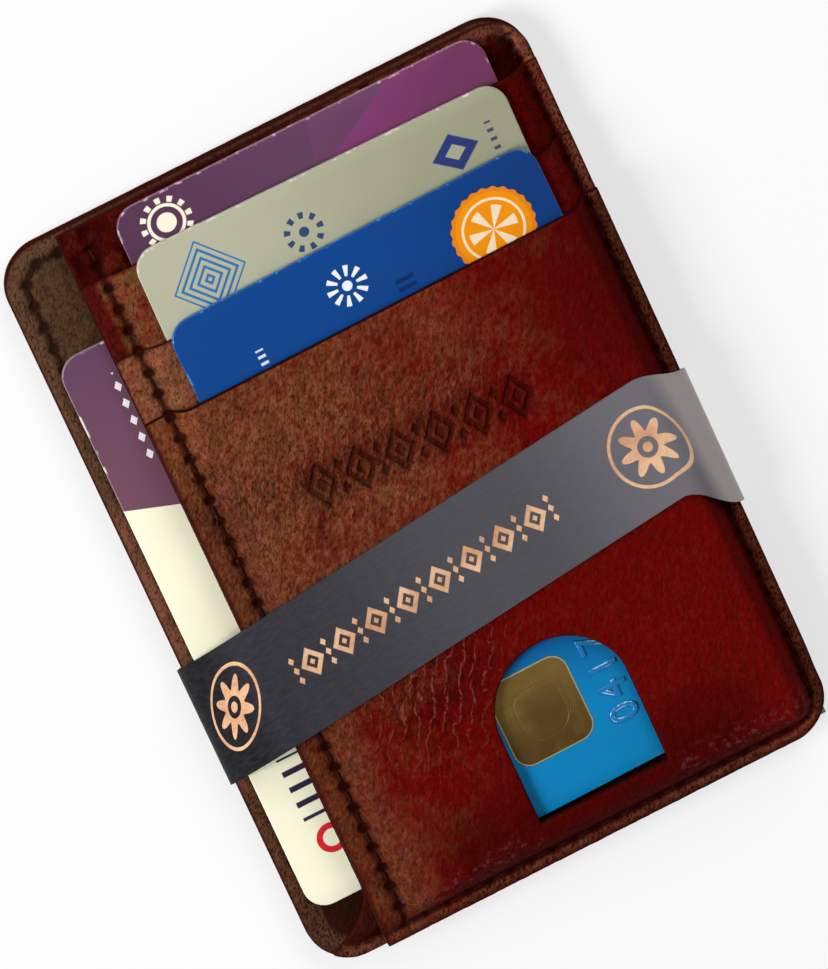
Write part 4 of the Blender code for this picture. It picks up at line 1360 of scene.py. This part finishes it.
# Belly band. A strip of smoky grey paper wrapped round the holder a little askew and glued
# where it laps over itself on the back. It leans towards the foot as it goes down the sides,
# and is printed in copper foil: a row of diamonds, and a rosette in a ring at each side.
PAPER = 0.3 * MM
BAND_WIDTH = 17.91 * MM
BAND_SKEW, BAND_LEAN = math.radians(6.4), math.radians(20)
BAND_TOP = -0.09 * MM
BAND_BEND = 1.5
BAND_SIDE, BAND_FACE, BAND_BACK, BAND_LAP = 38.7, 10.64, 0.3, 0.6
BAND_PATH = [
    (16, BAND_LAP), (4, BAND_LAP), (2.5, BAND_BACK), (-BAND_SIDE, BAND_BACK), (-BAND_SIDE, 3.25),
    (-34.5, 7.84), (-29.7, BAND_FACE), (33.75, BAND_FACE), (BAND_SIDE, 6.70), (BAND_SIDE, BAND_BACK),
    (4, BAND_BACK),
]
BAND_ROWS = 27
SAG_AT_EDGES = (5.2, 2.6)
PETALS = 8
LEFT_ROSETTE_AT = -34.4


def softly_bent(corners, bend):
    """A path through corners in mm, each rounded off, with a place about every 0.8 mm."""
    corners = [np.array(corner, float) for corner in corners]
    path = [corners[0]]
    for before, corner, after in zip(corners, corners[1:], corners[2:]):
        back, ahead = before - corner, after - corner
        short = min(bend, 0.45 * np.hypot(*back), 0.45 * np.hypot(*ahead))
        first, last = corner + back / np.hypot(*back) * short, corner + ahead / np.hypot(*ahead) * short
        path += [(1 - t) ** 2 * first + 2 * t * (1 - t) * corner + t * t * last for t in np.linspace(0, 1, 7)]
    path = np.array(path + [corners[-1]])
    run = run_along(path)
    extra = [np.linspace(a, b, max(2, int((b - a) / 0.8) + 1)) for a, b in zip(run, run[1:]) if b - a > 1e-6]
    at = np.unique(np.concatenate(extra))
    return np.interp(at, run, path[:, 0]), np.interp(at, run, path[:, 1]), at


band_x, band_z, band_run = softly_bent(BAND_PATH, BAND_BEND)
on_top = np.flatnonzero(band_z > 10.5)
band_run = band_run - np.interp(0, band_x[on_top], band_run[on_top])
band = fresh(
    "belly_band_paper", bpy.ops.mesh.primitive_grid_add,
    x_subdivisions=len(band_x) - 1, y_subdivisions=BAND_ROWS - 1, size=1,
)
across, up, unrolled = (np.tile(part, BAND_ROWS) for part in (band_x * MM, band_z * MM, band_run))
share = np.repeat(np.linspace(-1, 0, BAND_ROWS), len(band_x))
fallen = (np.max(up) - up) * math.tan(BAND_LEAN)
sagging = eased(across, np.where(up > 1 * MM, 31 * MM, 6 * MM), BAND_SIDE * MM)
sag = sagging * np.interp(share, (-1, 0), SAG_AT_EDGES) * MM
along = BAND_TOP + across * math.tan(BAND_SKEW) + share * BAND_WIDTH - fallen - sag
on_face = np.clip((up - 4 * MM) / (5 * MM), 0, 1)
slack = (lumps(across, along, 16.0, 2.2) + 1) * 0.05 * MM * on_face
place_vertices(band, across, along, up + slack)
carry(band, "band_run", unrolled)
carry(band, "band_side", BAND_TOP / MM + unrolled * math.tan(BAND_SKEW) + share * BAND_WIDTH / MM)
modify(band, "SOLIDIFY", thickness=PAPER, offset=1.0)


def rosette(look, x, y, lean, narrow, low):
    """An eight-petalled flower in a ring, leant, narrowed and lowered as it is seen."""
    cosine, sine = math.cos(math.radians(lean)), math.sin(math.radians(lean))
    flat, ahead, aside = look.place, look.x - x, look.y - y
    turned_x, turned_y = ahead * cosine + aside * sine, aside * cosine - ahead * sine
    look.measure(look.joined(turned_x * narrow + x, turned_y * low + y))
    flower = (look.away(x, y) - (look.spokes(x, y, PETALS) + 1.0)).fade(2.35, 2.20)
    bloom = flower - look.disc(x, y, 1.5) * flower + look.disc(x, y, 0.72)
    drawn = look.ring(x, y, 5.55, 0.48) | bloom & 1.0
    look.measure(flat)
    return drawn


def printed_paper():
    """Paper with a soft sheen. The print is laid out along the strip, which is unrolled for it."""
    look = Finish("smoky_paper", Specular_IOR_Level=0.12)
    run, side = look.given("band_run"), look.given("band_side")
    cosine, sine = math.cos(BAND_SKEW), math.sin(BAND_SKEW)
    across = side * cosine - run * sine + (BAND_WIDTH / 2 - BAND_TOP) / MM * cosine
    look.measure(look.joined(run * cosine + side * sine, across))
    x, y = look.x, look.y

    # Painted light and shade: the paper is painted darkest round its left fold, lighter towards the right and
    # palest where it bends round the right side.
    look.ground(x.fade(-38, -26), "#0C0B11", "#33323A")
    look.over("#4D4C52", x.fade(-26, 6))
    look.over("#6C6A70", x.fade(8, 32))
    look.over("#A49D9A", x.fade(32.5, 36))
    look.over("#55545A", abs(x).fade(46, 52))
    fibres = look.cloud(0.5, 4.0, (0.35, 1.0))
    look.over("#8A898F", fibres.fade(0.35, 0.7, 0, 0.04))

    row_start, row_end, marks = -26.5, 13.5, 8
    pitch = (row_end - row_start) / marks
    off = x.repeat(pitch, row_start)
    bold, hollow, dot = (
        lozenge(off, y, pitch * half_width, half_height)
        for half_width, half_height in ((0.35, 2.25), (0.19, 1.20), (0.08, 0.50))
    )
    row = bold - (hollow - dot)
    gaps = x.repeat(pitch, row_start + pitch / 2)
    for height in (0, -1.55, 1.55):
        row |= lozenge(gaps, y - height, 0.42, 0.62)
    row *= x.within((row_start + row_end) / 2, (row_end - row_start) / 2 + 0.5)

    on_left = (band_z > 3.5) & (band_x < 0)
    left_run = float(np.interp(LEFT_ROSETTE_AT, band_x[on_left], band_run[on_left]))
    left_ring = left_run / cosine + (BAND_TOP - BAND_WIDTH / 2) / MM * sine
    foil = row | rosette(look, left_ring, 0.4, -34, 1.48, 0.89) | rosette(look, 28.7, -0.15, 0, 1.06, 0.98)
    shown = foil * look.cloud(0.7, 4.0).fade(0.36, 0.5).fade(0, 1, 0.82, 1)
    look.over(look.mix(look.cloud(9.0).fade(0.35, 0.65), "#CC936F", "#E8BB93"), shown)
    return look.shade(Roughness=shown.fade(0, 1, 0.6, 0.36), Normal=look.bump(fibres + foil, 0.01))


coat(band, printed_paper(), 50)
stand_in(band, "band_body", "band_paper", "belly_band")
